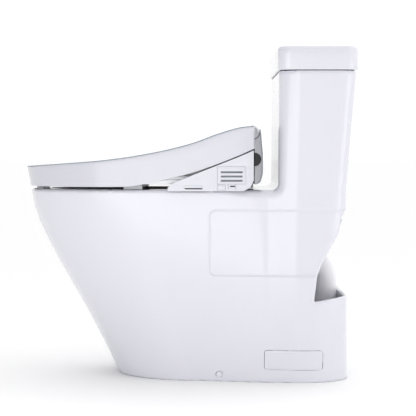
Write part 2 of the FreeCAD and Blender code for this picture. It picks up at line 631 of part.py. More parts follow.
def make_unit_base():
    """The mounting plate on the deck, its bolts, and the base that slides over it."""
    rim = "rim_height"
    bolts = [("-mount_spread / 2", "mount_back"), ("mount_spread / 2", "mount_back")]
    outline = [("-mount_half", "-mount_front"), ("mount_half", "-mount_front"),
               ("mount_half", "mount_rear"), ("-mount_half", "mount_rear")]
    node(sketched("mounting_plate", "XY_Plane", outline, [(*spot, "pin_radius") for spot in bolts],
                  rim, "plate_height"))
    pieces = []
    for n, (x, y) in enumerate(bolts):
        pieces.append(rod(f"mount_shank_{n}", "pin_radius", (x, y, f"{rim} - deck_thickness - 14"),
                          "deck_thickness + plate_height + 14"))
        pieces.append(rod(f"mount_head_{n}", "pin_radius + 4", (x, y, f"{rim} + plate_height"),
                          "base_height"))
        pieces.append(rod(f"mount_nut_{n}", "pin_radius + 8", (x, y, f"{rim} - deck_thickness - 8"), "8"))
    node(fuse("mounting_bolts", *pieces))

    outline = [("-base_half", "-unit_front"), ("-15", "-unit_front"), ("-15", "10 - unit_front"),
               ("15", "10 - unit_front"), ("15", "-unit_front"), ("base_half", "-unit_front"),
               ("base_half", "unit_rear"), ("-base_half", "unit_rear")]
    blank = sketched("base_blank", "XY_Plane", outline, [], f"{rim} + plate_height", "base_height")
    slots = [block(f"base_slot_{n}", (f"{x} - pin_radius - 6", f"{x} + pin_radius + 6"),
                   (f"{y} - pin_radius - 6", f"{y} + pin_radius + 6 + unit_travel"),
                   (rim, f"{rim} + plate_height + base_height + 1")) for n, (x, y) in enumerate(bolts)]
    node(cut("unit_base_plate", blank, *slots))


def cover_outline():
    """The middle cover seen from the flank: front, rising top, and back, as (y, z) points."""
    low = size("rim_height") + size("plate_height") + size("base_height")
    front, back, top = -size("cover_front"), size("cover_back"), size("cover_top")
    return [(front, low), (back, low), (back, top), (back - 15, top), (back - 30, top - 5),
            (back - 63, top - 25), (back - 103, top - 54), (front, low + 22)]


def make_unit_covers():
    """The middle cover, the rear housing, the flank covers and the hinge cheeks."""
    wall, half = size("cover_wall"), size("cover_half")
    outline = cover_outline()
    outside = prism(outline, -half, half)
    walls = [-5, -5, wall, wall, wall, wall, wall, wall]
    inside = prism(inset(outline, walls), wall - half, half - wall)
    low = outline[0][1]
    mouths = [nozzle_bar(size("nozzle_head_radius") + size("nozzle_clearance"), -60, 40),
              box(size("duct_width") * 1.2, size("duct_width") * 2.2, -120, 0, low + 5,
                  low + 5 + size("duct_height"))]
    cheek = cheek_shape()
    node(feature("unit_cover", outside.cut([inside, both_sides(cheek_clearance())] + mouths)))
    node(feature("hinge_cheeks", both_sides(cheek)))

    start, back = size("housing_start"), size("housing_back")
    top, foot = size("hinge_level") + 6, low + 6
    outline = [(start, foot), (back - 15, foot), (back - 10, foot + 2), (back - 5, foot + 5.5),
               (back - 2.5, foot + 13), (back, foot + 24), (back, foot + 66), (back - 2, top - 33),
               (back - 3.5, top - 10), (back - 5, top), (start, top)]
    outside = prism(outline, -size("housing_half"), size("housing_half"))
    inside = prism(inset(outline, [wall] * 9 + [wall, -5]), wall - size("housing_half"),
                   size("housing_half") - wall).cut(barrel_channel(wall))
    ring = grommet_solid(0.0)
    node(feature("unit_rear_housing", outside.cut([inside, barrel_channel(0), ring])))
    node(feature("cord_grommet", grommet_solid(0.2)))

    right = flank_cover()
    openings = [filter_shape(0.3), button_shape(0.3, size("button_travel") + 1), lens_shape(0)]
    node(feature("side_cover_right", right.cut(openings)))
    inlet_gap = Part.makeCylinder(size("inlet_radius") + 0.4, size("side_half"), inlet_start(), Vector(-1, 0, 0))
    node(feature("side_cover_left", mirrored(right).cut(inlet_gap)))


def barrel_channel(wall):
    """The channel that the lid's rear edge turns in, with or without the housing's wall round it."""
    radius = size("barrel_radius") + size("barrel_gap") + wall
    y, z = size("hinge_back"), size("hinge_level")
    round_part = Part.makeCylinder(radius, REACH, Vector(-REACH / 2, y, z), Vector(1, 0, 0))
    return round_part.fuse(box(-REACH / 2, REACH / 2, y - radius, y + radius, z, REACH))


def grommet_solid(clear):
    """The half-round grommet set in the right flank of the rear housing."""
    disc = Part.makeCylinder(size("grommet_radius") - clear, size("cover_wall") + 0.8 - clear / 10,
                             Vector(size("housing_half") - size("cover_wall"), size("housing_start"),
                                    size("grommet_level")), Vector(1, 0, 0))
    return disc.common(box(0, REACH, size("housing_start") + clear, REACH, 0, REACH))


def cheek_outline(grow=0):
    """A hinge cheek seen from the flank, leaving the rear of the hinge line free."""
    low = size("rim_height") + size("plate_height") + size("base_height")
    y, z, r = size("hinge_back"), size("hinge_level"), size("knuckle_radius") + grow
    return [(y - 42 - grow, low), (y - 18 + grow, low), (y - 18 + grow, z - 18), (y - r * 0.4, z - r * 0.9),
            (y, z), (y - r * 0.7, z + r * 0.7), (y - 18 - grow, z - 3 + grow), (y - 42 - grow, z - 40)]


def cheek_shape():
    """One hinge cheek with its knuckle and pin hole, on the right."""
    outer, thick = size("cover_half"), size("cheek_thick")
    plate = prism(cheek_outline(), outer - size("cover_wall") - 0.5 - thick, outer - size("cover_wall") - 0.5)
    axis = Vector(outer - size("cover_wall") - 0.5 - thick, size("hinge_back"), size("hinge_level"))
    knuckle = Part.makeCylinder(size("knuckle_radius"), thick, axis, Vector(1, 0, 0))
    hole = Part.makeCylinder(size("pin_radius"), thick, axis, Vector(1, 0, 0))
    return plate.fuse(knuckle).cut(hole)


def cheek_clearance():
    """The slot in the middle cover that a cheek comes up through."""
    outer, thick = size("cover_half") - size("cover_wall") - 0.5, size("cheek_thick")
    y, top = size("hinge_back"), size("cover_top")
    return box(outer - thick - 0.5, outer + 0.5, y - 43, y + 3, top - 42, top + 30)


def flank_cover():
    """The right flank cover: a tray open inwards, hung beside the rim."""
    rim, outer, deep = size("rim_height"), size("side_half"), size("side_depth")
    low, front, rear = rim - size("side_drop"), -size("side_front"), size("lid_skirt_rear") - 0.3
    outline = [(front, low), (rear - 21, low), (rear - 7, low + 8), (rear, low + 22), (rear, low + 86),
               (rear - 31, low + 72.5), (rear - 87, low + 50), (rear - 138, low + 30.5),
               (rear - 169, low + 17.5), (front, low + 8)]
    wall = size("cover_wall")
    tray = prism(outline, outer - deep, outer).cut(prism(inset(outline, [wall] * len(outline)),
                                                        outer - deep - 1, outer - wall))
    return tray


def filter_shape(clear):
    """The filter's louvred cover on the right flank, made larger by a clearance."""
    front, low = -size("filter_front"), size("filter_bottom")
    outer = size("side_half")
    return box(outer - size("cover_wall") - 4, outer + 0.2, front - clear,
               front + size("filter_length") + clear, low - clear, low + size("filter_height") + clear)


def button_shape(clear, depth):
    """The release button below the filter's front edge, or the opening that it moves in."""
    side, outer = size("button_side"), size("side_half")
    low, front = size("filter_bottom") - 2 - side, -size("button_front")
    return box(outer - size("button_thick") - 1 - depth, outer + 0.6, front - clear,
               front + side + 6 + clear, low - clear, low + side + clear)


def lens_shape(clear):
    """The night light's strip on the right flank."""
    outer, low = size("side_half"), size("rim_height") + 4.5
    front = -size("lens_front")
    return box(outer - size("cover_wall"), outer + 0.5, front + clear,
               front + size("lens_length") - clear, low + clear, low + size("lens_height") - clear)


def inlet_start():
    """Where the water inlet leaves the left flank."""
    return Vector(-size("side_half") + 10, 46, size("rim_height") + 18)


def make_controls():
    """The filter, the release button, the night light and the water inlet."""
    front, low, outer = -size("filter_front"), size("filter_bottom"), size("side_half")
    wall = size("filter_thick")
    plate = box(outer - wall, outer, front, front + size("filter_length"), low, low + size("filter_height"))
    slots = [box(outer - wall - 1, outer + 1, front + 7, front + 7 + size("louvre_length"),
                 low + 5 + n * size("louvre_pitch"), low + 5 + n * size("louvre_pitch") + size("louvre_height"))
             for n in range(3)]
    node(feature("filter_cover", plate.cut(slots)))
    node(feature("filter_cassette", box(outer - wall - size("cassette_depth"), outer - wall, front + 4,
                                        front + size("filter_length") - 4, low + 3,
                                        low + size("filter_height") - 3)))
    node(feature("release_button", button_shape(0, 0)))
    node(feature("night_light_lens", lens_shape(0)))
    tube = Part.makeCylinder(size("inlet_radius"), size("inlet_length"),
                             inlet_start() + Vector(12, 0, 0), Vector(-1, 0, 0))
    bore = Part.makeCylinder(size("inlet_radius") - 3, size("inlet_length") - 6,
                             inlet_start() + Vector(6, 0, 0), Vector(-1, 0, 0))
    stand = box(-size("side_half") + 16, -size("side_half") + 22, 36, 56,
                size("rim_height") + size("plate_height") + size("base_height"), size("rim_height") + 27)
    node(feature("water_inlet_fitting", tube.fuse(stand).cut(bore)))


def make_inner_pieces():
    """What the unit holds: nozzle, heater, valve block, fan, duct and circuit board."""
    low = "rim_height + plate_height + base_height"
    node(block("water_heater", ("-heater_half - 42", "-42"), ("66 - heater_depth", "66"),
               (low, f"{low} + heater_height")))
    node(block("valve_block", ("64", "64 + block_length"), ("34", "64"), (low, f"{low} + 28")))
    board = [("40", "-22"), ("40 + board_length", "-22"), ("40 + board_length", "board_depth - 22"),
             ("40", "board_depth - 22")]
    node(sketched("circuit_board", "XY_Plane", board, [("46", "-16", "1.6"),
                                                       ("34 + board_length", "board_depth - 28", "1.6")],
                  "board_level", "board_thick"))
    x, y = "90", "40"
    case = rod("fan_case", "fan_radius", (x, y, f"{low} + 28"), "fan_height")
    eye = rod("fan_eye", "fan_radius - 9", (x, y, f"{low} + 32"), "fan_height")
    node(cut("dryer_fan", case, eye))
    tunnel = block("duct_outside", ("duct_width * 1.2 + 0.5", "duct_width * 2.2 - 0.5"), ("-40", "18"),
                   (low, f"{low} + duct_height + 4"))
    air = block("duct_space", ("duct_width * 1.2 + 0.5 + duct_wall", "duct_width * 2.2 - 0.5 - duct_wall"),
                ("-41", "16"), (f"{low} + duct_wall + 3", f"{low} + duct_height + 2"))
    node(cut("dryer_duct", tunnel, air))

    head, total = size("nozzle_head_length"), size("nozzle_length")
    clear = size("nozzle_clearance") - 1.5
    tip = nozzle_bar(size("nozzle_head_radius"), 0, head)
    outer_edge = [edge for edge in tip.Edges if edge.Closed and edge.CenterOfMass.z < size("nozzle_tip_level") + 1]
    tip = tip.makeFillet(5, outer_edge)
    jets = [Part.makeCylinder(1.2, 12, nozzle_point(8 + 6 * n), Vector(0, 0, 1)) for n in range(2)]
    node(feature("nozzle_head", tip.cut(jets)))
    node(feature("nozzle_tube", nozzle_bar(size("nozzle_radius"), head, total)))
    trough = nozzle_bar(size("nozzle_head_radius") + clear + size("cradle_wall"), 14, total + 4)
    groove = nozzle_bar(size("nozzle_head_radius") + clear, 0, total + 1)
    legs = box(-8, 8, 12, 30, value_of(low), size("nozzle_tip_level") + 34)
    cradle = trough.fuse(legs).cut([groove, box(-60, 60, -200, 200, 0, value_of(low)),
                                    box(-60, 60, -200, -18, 0, REACH), nozzle_roof()])
    node(feature("nozzle_cradle", cradle))
    reach = size("nozzle_head_radius") + clear + size("cradle_wall")
    motor_base = nozzle_point(total - 20) + Vector(-reach, 0, 0)
    node(feature("nozzle_motor", Part.makeCylinder(size("motor_radius"), size("motor_length"), motor_base,
                                                   Vector(-1, 0, 0))))


def nozzle_point(behind):
    """A point on the nozzle's line, so far behind its tip."""
    tip = Vector(0, -size("nozzle_tip_front"), size("nozzle_tip_level"))
    return tip - NOZZLE_AXIS * behind


def nozzle_roof():
    """The half of space above the nozzle's line, which leaves the cradle an open trough."""
    slab = Part.makeBox(120, 400, 200, Vector(-60, -200, 2))
    slab.rotate(Vector(), Vector(1, 0, 0), size("nozzle_tilt"))
    slab.translate(nozzle_point(60))
    return slab


# ---------------------------------------------------------------- lid and seat

def lid_top(margin):
    """The lid's top from nose to hinge, as (y, z) points, moved down by a margin."""
    y, z = size("hinge_back"), size("hinge_level") + size("barrel_radius")
    rise = z - size("lid_edge_level")
    front = -size("lid_front")
    run = y - front
    shares = ((0, 0), (0.15, 0.06), (0.33, 0.14), (0.46, 0.23), (0.6, 0.37), (0.74, 0.57), (0.86, 0.82),
              (0.95, 0.965), (1, 1))
    return [(front + run * a, z - rise + rise * b - margin) for a, b in shares]


def lid_skirt():
    """The lid's lower edge from the hinge to the nose, as (y, z) points."""
    low, rear = size("lid_skirt_level"), size("lid_skirt_rear")
    return [(rear, low + 82), (rear - 31, low + 68), (rear - 87, low + 46), (rear - 138, low + 29),
            (rear - 182, low + 18), (rear - 220, low + 9), (rear - 283, low + 1), (-size("lid_front"), low)]


def lid_plan(inward):
    """The space inside the lid's outline, leaning out to its upper edge."""
    half, lean = size("lid_half") - inward, size("lid_lean")
    front = size("lid_front") - inward
    rear = size("lid_skirt_rear") + 30
    levels = ((size("lid_skirt_level") - 10, 1.0), (size("lid_edge_level"), 0.0),
              (size("hinge_level") + 60, 0.0))
    wires = []
    for level, share in levels:
        narrow = lean * share
        wires.append(nosed_wire(level, narrow - front, -size("lid_shoulder"), half - narrow * 0.6,
                                [(half - narrow * 0.6, rear - 6)], (half - narrow * 0.6 - 6, rear)))
    return Part.makeLoft(wires, True, True)


def make_lid():
    """The closed lid: a thin moulded shell whose rear edge wraps round the hinge line."""
    wall, y, z = size("lid_wall"), size("hinge_back"), size("hinge_level")
    rear = size("lid_skirt_rear")
    top, skirt = lid_top(0), lid_skirt()
    outline = top + [(y, z)] + [(rear, z)] + skirt
    outside = prism(outline, -REACH, REACH).common(lid_plan(0))
    under = lid_top(wall)
    inner = [(under[0][0] - 20, under[0][1])] + under[1:] + [(y, under[-1][1]), (REACH, under[-1][1]),
                                                            (REACH, 0), (under[0][0] - 20, 0)]
    hollow = prism(inner, -REACH, REACH).common(lid_plan(wall))
    half = size("lid_half") - wall
    axis = Vector(-half, y, z)
    outer_arc = Part.makeCylinder(size("barrel_radius"), 2 * half, axis, Vector(1, 0, 0))
    inner_arc = Part.makeCylinder(size("barrel_radius") - wall, 2 * half, axis, Vector(1, 0, 0))
    barrel = outer_arc.cut(inner_arc).common(box(-REACH, REACH, y, REACH, z, REACH))
    lug_start = size("cover_half") + size("hinge_gap") + size("arm_width") + size("hinge_gap")
    lug_axis = Vector(lug_start, y, z)
    lug = Part.makeCylinder(size("knuckle_radius"), size("lug_width"), lug_axis, Vector(1, 0, 0))
    web = box(lug_start, lug_start + size("lug_width"), y - size("knuckle_radius"), y, z,
              z + size("barrel_radius") - wall)
    pin_hole = Part.makeCylinder(size("pin_radius"), size("lug_width"), lug_axis, Vector(1, 0, 0))
    lug = lug.fuse(web.common(prism(inner, -REACH, REACH))).cut(pin_hole)
    lid = outside.cut(hollow).fuse([barrel, lug, mirrored(lug)])
    node(feature("lid_shell", lid.cut(both_sides(pin_hole)).removeSplitter()))

    inside = prism(inner, -REACH, REACH).common(lid_plan(wall))
    rest, shoulder = size("seat_top") + size("rest_gap"), -size("lid_shoulder")
    pads = [Part.makeCylinder(size("pad_radius"), size("lid_half"), Vector(side * across, back, rest)).common(inside)
            for side in (-1, 1) for across, back in ((size("lid_half") - 65, shoulder - 115),
                                                     (size("lid_half") - 50, shoulder + 35))]
    node(feature("lid_bumpers", Part.makeCompound(pads)))
    start = lug_start - size("hinge_gap") / 2
    pin = Part.makeCylinder(size("pin_radius"), size("lug_width") + size("hinge_gap") / 2,
                            Vector(start, y, z), Vector(1, 0, 0))
    node(feature("lid_hinge_pins", both_sides(pin)))


def seat_ring(level, height, inward):
    """The seat's ring between two levels, its rim and hole moved inwards by a wall."""
    half, front, rear = size("seat_half") - inward, size("seat_front") - inward, -size("seat_rear") - inward
    plan = nosed_wire(level, -front, -size("seat_shoulder"), half, [(half, rear - 20)], (half - 20, rear))
    disc = Part.Face(plan).extrude(Vector(0, 0, height))
    hole = ellipse_wire(level, -size("seat_hole_centre"), size("seat_hole_half") + inward,
                        size("seat_hole_reach") + inward)
    return disc.cut(Part.Face(hole).extrude(Vector(0, 0, height)))


def make_seat():
    """The seat: an upper and a lower shell, the heating foil between, arms, pins and bumpers."""
    low, split, top, wall = size("seat_bottom"), size("seat_split"), size("seat_top"), size("seat_wall")
    y, z, width = size("hinge_back"), size("hinge_level"), size("arm_width")
    start = size("cover_half") + size("hinge_gap")
    upper = seat_ring(split, top - split, 0)
    crown = [edge for edge in upper.Edges if edge.BoundBox.ZMin > top - 0.01]
    upper = upper.makeFillet(size("seat_edge"), crown)
    hollow = seat_ring(split, top - split - wall, wall)
    front = -size("seat_rear") - 30
    arm = prism([(front, split), (-size("seat_rear") - 8, split), (y - 40, z - 46), (y - 7, z - 4), (y, z),
                 (y - 5, z + 5), (y - 26, z - 8), (-size("seat_rear") + 20, top + 24),
                 (-size("seat_rear") - 10, top), (front, top)], start, start + width)
    axis = Vector(start, y, z)
    knuckle = Part.makeCylinder(size("knuckle_radius"), width, axis, Vector(1, 0, 0))
    pin_hole = Part.makeCylinder(size("pin_radius"), width, axis, Vector(1, 0, 0))
    arm = arm.fuse(knuckle)
    path = nozzle_bar(size("nozzle_head_radius") + size("nozzle_clearance"), -80, 30)
    upper = upper.cut(hollow).fuse([arm, mirrored(arm)]).cut([both_sides(pin_hole), path])
    node(feature("seat_top_shell", upper.removeSplitter()))
    lower = seat_ring(low, split - low, 0).cut(seat_ring(low + wall, split - low - wall, wall))
    node(feature("seat_bottom_shell", lower.cut(path)))
    foil_level = top - wall - size("heater_thick")
    foil = seat_ring(foil_level, size("heater_thick"), wall + 6)
    node(feature("seat_heater", foil.cut([path, upper])))
    rim = size("rim_height") + size("rest_gap")
    long, wide = size("bumper_length"), size("bumper_width")
    rear = -size("bumper_back")
    side = box(size("seat_half") - 12 - wide, size("seat_half") - 12, rear - long, rear, rim, low)
    nose = box(60 - wide, 60, -size("seat_front") + 14, -size("seat_front") + 30, rim, low)
    node(feature("seat_bumpers", Part.makeCompound([side, mirrored(side), nose, mirrored(nose)])))
    pin_start = size("cover_half") - size("cover_wall") - 0.5 - size("cheek_thick")
    pin = Part.makeCylinder(size("pin_radius"), start + width - pin_start, Vector(pin_start, y, z),
                            Vector(1, 0, 0))
    node(feature("seat_hinge_pins", both_sides(pin)))


def check_and_write():
    """Stop on any failed object or shape, then write one STEP file for each sub-part."""
    doc.recompute()
    for item in doc.Objects:
        bad = {"Invalid", "Error"} & set(item.State)
        if bad:
            raise RuntimeError(f"{item.Name} is {sorted(bad)}")
    for item in parts_made:
        if item.Shape.isNull() or not item.Shape.isValid() or not item.Shape.Solids:
            raise RuntimeError(f"{item.Label} has no valid solid")
    os.makedirs("parts", exist_ok=True)
    for item in parts_made:
        item.Shape.exportStep(os.path.join("parts", f"{item.Label}.step"))
    print(f"{len(parts_made)} sub-parts written")


make_bowl()
make_tank()
make_outlet()
make_floor_fixing()
make_valves()
make_unit_base()
make_unit_covers()
make_controls()
make_inner_pieces()
make_lid()
make_seat()
check_and_write()
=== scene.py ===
"""Looks for the one-piece skirted toilet with a heated washing seat.

Everything is in metres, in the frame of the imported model: +Z up, the bowl's front at -Y, the
right flank at +X, and the origin at the drain's centre on the floor. Sizes that are worked out
in millimetres say so, and are turned to metres where the mesh is made.
"""
from __future__ import annotations

import json
import logging
import math
from dataclasses import dataclass
from enum import Enum
from typing import Callable, Sequence

import bmesh
import bpy
import numpy as np
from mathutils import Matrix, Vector

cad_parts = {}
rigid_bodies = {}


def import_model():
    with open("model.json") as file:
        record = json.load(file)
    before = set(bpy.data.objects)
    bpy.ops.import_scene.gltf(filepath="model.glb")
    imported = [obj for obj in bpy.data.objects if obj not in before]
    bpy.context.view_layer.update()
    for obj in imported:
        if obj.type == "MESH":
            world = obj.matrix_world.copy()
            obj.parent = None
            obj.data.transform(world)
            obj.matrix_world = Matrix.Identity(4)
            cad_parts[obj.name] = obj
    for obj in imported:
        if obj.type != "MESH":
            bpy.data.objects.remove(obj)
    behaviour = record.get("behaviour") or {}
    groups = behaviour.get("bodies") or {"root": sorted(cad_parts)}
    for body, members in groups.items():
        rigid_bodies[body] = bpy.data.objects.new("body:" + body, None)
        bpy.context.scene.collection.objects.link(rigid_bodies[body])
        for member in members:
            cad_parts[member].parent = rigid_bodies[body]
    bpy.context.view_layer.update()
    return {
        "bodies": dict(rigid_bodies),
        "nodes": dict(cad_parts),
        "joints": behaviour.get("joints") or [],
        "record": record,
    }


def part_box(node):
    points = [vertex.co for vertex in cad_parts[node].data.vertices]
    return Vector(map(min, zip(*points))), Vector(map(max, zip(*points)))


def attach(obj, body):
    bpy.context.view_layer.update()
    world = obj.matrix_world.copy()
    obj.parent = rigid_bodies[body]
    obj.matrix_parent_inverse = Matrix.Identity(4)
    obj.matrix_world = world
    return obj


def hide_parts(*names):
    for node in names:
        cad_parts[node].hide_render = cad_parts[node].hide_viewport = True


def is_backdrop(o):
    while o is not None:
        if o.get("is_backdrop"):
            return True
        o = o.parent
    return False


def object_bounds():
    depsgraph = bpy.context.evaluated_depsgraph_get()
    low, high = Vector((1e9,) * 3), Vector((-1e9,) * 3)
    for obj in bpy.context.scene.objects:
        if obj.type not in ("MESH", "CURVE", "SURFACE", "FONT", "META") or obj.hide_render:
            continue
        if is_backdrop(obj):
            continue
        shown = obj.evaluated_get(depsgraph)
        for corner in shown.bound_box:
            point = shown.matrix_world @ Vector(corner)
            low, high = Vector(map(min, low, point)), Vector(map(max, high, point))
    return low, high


LOG = logging.getLogger("toilet")
MM = 0.001
Point2 = tuple[float, float]
Point3 = tuple[float, float, float]


class Body(str, Enum):
    """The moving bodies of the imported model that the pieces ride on."""

    TOILET = "toilet"
    SEAT_UNIT = "seat_unit"
    LID = "lid"
    SEAT = "seat"
    NOZZLE = "nozzle"
    TANK_COVER = "tank_cover"
    TRIP_LEVER = "trip_lever"
    CANISTER = "flush_canister"
    FLOAT = "float"
    FILTER = "filter"
    RELEASE = "release"


# ------------------------------------------------------------------ shapes as distances

def smooth_step(value: np.ndarray, low: float, high: float) -> np.ndarray:
    """Rise from 0 at low to 1 at high with no corner at either end."""
    share = np.clip((value - low) / (high - low), 0.0, 1.0)
    return share * share * (3.0 - 2.0 * share)


def round_max(a: np.ndarray, b: np.ndarray, radius: float | np.ndarray) -> np.ndarray:
    """The larger of two distances, with the outer corner between them rounded."""
    out = np.sqrt(np.maximum(a + radius, 0.0) ** 2 + np.maximum(b + radius, 0.0) ** 2)
    return np.minimum(-radius, np.maximum(a, b)) + out


def round_min(a: np.ndarray, b: np.ndarray, radius: float | np.ndarray) -> np.ndarray:
    """The smaller of two distances, with the inner corner between them filled round."""
    out = np.sqrt(np.maximum(radius - a, 0.0) ** 2 + np.maximum(radius - b, 0.0) ** 2)
    return np.maximum(radius, np.minimum(a, b)) - out


def ellipse_distance(x: np.ndarray, y: np.ndarray, wide: float | np.ndarray,
                     long: float | np.ndarray) -> np.ndarray:
    """About how far points lie outside an ellipse, negative inside it.

    Args:
        x: Offsets across the ellipse.
        y: Offsets along the ellipse.
        wide: Half its width.
        long: Half its length.

    Returns:
        The signed distances.
    """
    reach = np.sqrt((x / wide) ** 2 + (y / long) ** 2) + 1e-9
    slope = np.sqrt((x / wide ** 2) ** 2 + (y / long ** 2) ** 2) + 1e-9
    return (reach - 1.0) * reach / slope


def outline_distance(y: np.ndarray, z: np.ndarray, outline: Sequence[Point2]) -> np.ndarray:
    """Signed distance to a closed outline of (y, z) corners, negative inside it."""
    nearest = np.full(y.shape, np.inf)
    inside = np.zeros(y.shape, bool)
    for (y0, z0), (y1, z1) in zip(outline, list(outline[1:]) + [outline[0]]):
        dy, dz = y1 - y0, z1 - z0
        share = np.clip(((y - y0) * dy + (z - z0) * dz) / (dy * dy + dz * dz), 0.0, 1.0)
        nearest = np.minimum(nearest, np.hypot(y - y0 - share * dy, z - z0 - share * dz))
        if dz:
            crosses = (z0 > z) != (z1 > z)
            inside ^= crosses & (y < y0 + (z - z0) * dy / dz)
    return np.where(inside, -nearest, nearest)


def surface_net(values: np.ndarray, start: np.ndarray, step: float) -> tuple[np.ndarray, np.ndarray]:
    """Quads over the places where a grid of distances changes sign.

    Args:
        values: Distances on a regular grid.
        start: The grid's first point.
        step: The grid's spacing.

    Returns:
        The corner points, and the quads that join them with their faces outwards.
    """
    inside = values < 0.0
    cells = tuple(n - 1 for n in values.shape)
    total = np.zeros(cells + (3,), np.float32)
    count = np.zeros(cells, np.float32)
    for first in ((i, j, k) for i in (0, 1) for j in (0, 1) for k in (0, 1)):
        for axis in range(3):
            if first[axis]:
                continue
            second = tuple(s + (1 if a == axis else 0) for a, s in enumerate(first))
            a = values[tuple(slice(s, s + n) for s, n in zip(first, cells))]
            b = values[tuple(slice(s, s + n) for s, n in zip(second, cells))]
            crossing = (a < 0.0) != (b < 0.0)
            share = np.where(crossing, a / np.where(crossing, a - b, 1.0), 0.0)
            for letter in range(3):
                offset = first[letter] + (share if letter == axis else 0.0)
                total[..., letter] += np.where(crossing, offset, 0.0)
            count += crossing
    live = count > 0
    number = np.full(cells, -1)
    number[live] = np.arange(live.sum())
    points = start + step * (np.argwhere(live) + total[live] / count[live][:, None])
    quads = []
    for axis in range(3):
        u, v = ((1, 2), (2, 0), (0, 1))[axis]
        low, high = [slice(None)] * 3, [slice(None)] * 3
        low[axis], high[axis] = slice(0, -1), slice(1, None)
        spots = np.argwhere(inside[tuple(low)] != inside[tuple(high)])
        above = (spots[:, u] > 0) & (spots[:, v] > 0)
        spots = spots[above & (spots[:, u] < cells[u]) & (spots[:, v] < cells[v])]
        corners = []
        for du, dv in ((1, 1), (0, 1), (0, 0), (1, 0)):
            shifted = spots.copy()
            shifted[:, u] -= du
            shifted[:, v] -= dv
            corners.append(number[tuple(shifted.T)])
        faces = np.stack(corners, axis=1)
        entering = ~inside[tuple(spots.T)]
        faces[entering] = faces[entering][:, ::-1]
        quads.append(faces)
    return points, np.concatenate(quads)


def settle(points: np.ndarray, distance: Callable[[np.ndarray], np.ndarray], rounds: int = 4) -> np.ndarray:
    """Move points onto the surface where a distance is nought, by short steps along its slope."""
    for _ in range(rounds):
        value = distance(points)
        slope = np.stack([distance(points + shift) - distance(points - shift)
                          for shift in np.eye(3) * 0.2], axis=1) / 0.4
        steep = np.maximum((slope ** 2).sum(axis=1), 0.25)
        points = points - np.clip(value / steep, -2.0, 2.0)[:, None] * slope
    return points


# ------------------------------------------------------------------ mesh helpers

def smooth_table(points: Sequence[Point2], count: int = 200) -> tuple[np.ndarray, np.ndarray]:
    """A smooth curve with no overshoot through points whose first numbers rise.

    Args:
        points: (place, value) pairs.
        count: How many samples the table has.

    Returns:
        The places and the values of the table.
    """
    at, value = (np.array(column, float) for column in zip(*points))
    slope = np.diff(value) / np.diff(at)
    tangent = np.concatenate([slope[:1], np.zeros(len(at) - 2), slope[-1:]])
    for i in range(1, len(at) - 1):
        if slope[i - 1] * slope[i] > 0.0:
            tangent[i] = 2.0 * slope[i - 1] * slope[i] / (slope[i - 1] + slope[i])
    place = np.linspace(at[0], at[-1], count)
    index = np.clip(np.searchsorted(at, place, side="right") - 1, 0, len(at) - 2)
    width = at[index + 1] - at[index]
    t = (place - at[index]) / width
    result = ((2 * t ** 3 - 3 * t ** 2 + 1) * value[index] + (t ** 3 - 2 * t ** 2 + t) * width * tangent[index]
              + (3 * t ** 2 - 2 * t ** 3) * value[index + 1] + (t ** 3 - t ** 2) * width * tangent[index + 1])
    return place, result


def make_object(name: str, points: np.ndarray | Sequence, faces: Sequence,
                scale: float = MM) -> bpy.types.Object:
    """A mesh object at the origin from points and faces.

    Args:
        name: The piece's name.
        points: Its corner points.
        faces: Its faces, as tuples of corner numbers.
        scale: What the points are multiplied by to be in metres.

    Returns:
        The new object.
    """
    mesh = bpy.data.meshes.new(name)
    mesh.from_pydata((np.asarray(points, float) * scale).tolist(), [], [tuple(map(int, f)) for f in faces])
    mesh.update()
    obj = bpy.data.objects.new(name, mesh)
    bpy.context.scene.collection.objects.link(obj)
    return obj


def tidy_mesh(obj: bpy.types.Object, crease: float = 35.0, weld: float = 1e-6, outward: bool = True) -> None:
    """Merge doubled corners, turn the faces outwards and smooth all but the real edges.

    Args:
        obj: The piece.
        crease: The angle in degrees from which an edge stays sharp.
        weld: How near two corners must be to become one, in metres.
        outward: Whether the faces are turned outwards first.
    """
    work = bmesh.new()
    work.from_mesh(obj.data)
    bmesh.ops.remove_doubles(work, verts=work.verts, dist=weld)
    bmesh.ops.dissolve_degenerate(work, dist=weld * 0.5, edges=work.edges)
    if outward:
        bmesh.ops.recalc_face_normals(work, faces=work.faces)
    for face in work.faces:
        face.smooth = True
    limit = math.radians(crease)
    for edge in work.edges:
        edge.smooth = len(edge.link_faces) != 2 or edge.calc_face_angle(0.0) < limit
    work.to_mesh(obj.data)
    work.free()
    obj.data.update()


def carved(obj: bpy.types.Object, cutter: bpy.types.Object) -> bpy.types.Object:
    """Cut one piece out of another, and drop the cutter.

    Args:
        obj: The piece that is cut.
        cutter: What is taken out of it.

    Returns:
        The cut piece, under the first one's name.
    """
    modifier = obj.modifiers.new("carve", "BOOLEAN")
    modifier.operation, modifier.solver, modifier.object = "DIFFERENCE", "EXACT", cutter
    bpy.context.view_layer.update()
    graph = bpy.context.evaluated_depsgraph_get()
    mesh = bpy.data.meshes.new_from_object(obj.evaluated_get(graph), depsgraph=graph)
    obj.modifiers.clear()
    old, obj.data = obj.data, mesh
    bpy.data.meshes.remove(old)
    mesh.name = obj.name
    bpy.data.objects.remove(cutter)
    return obj


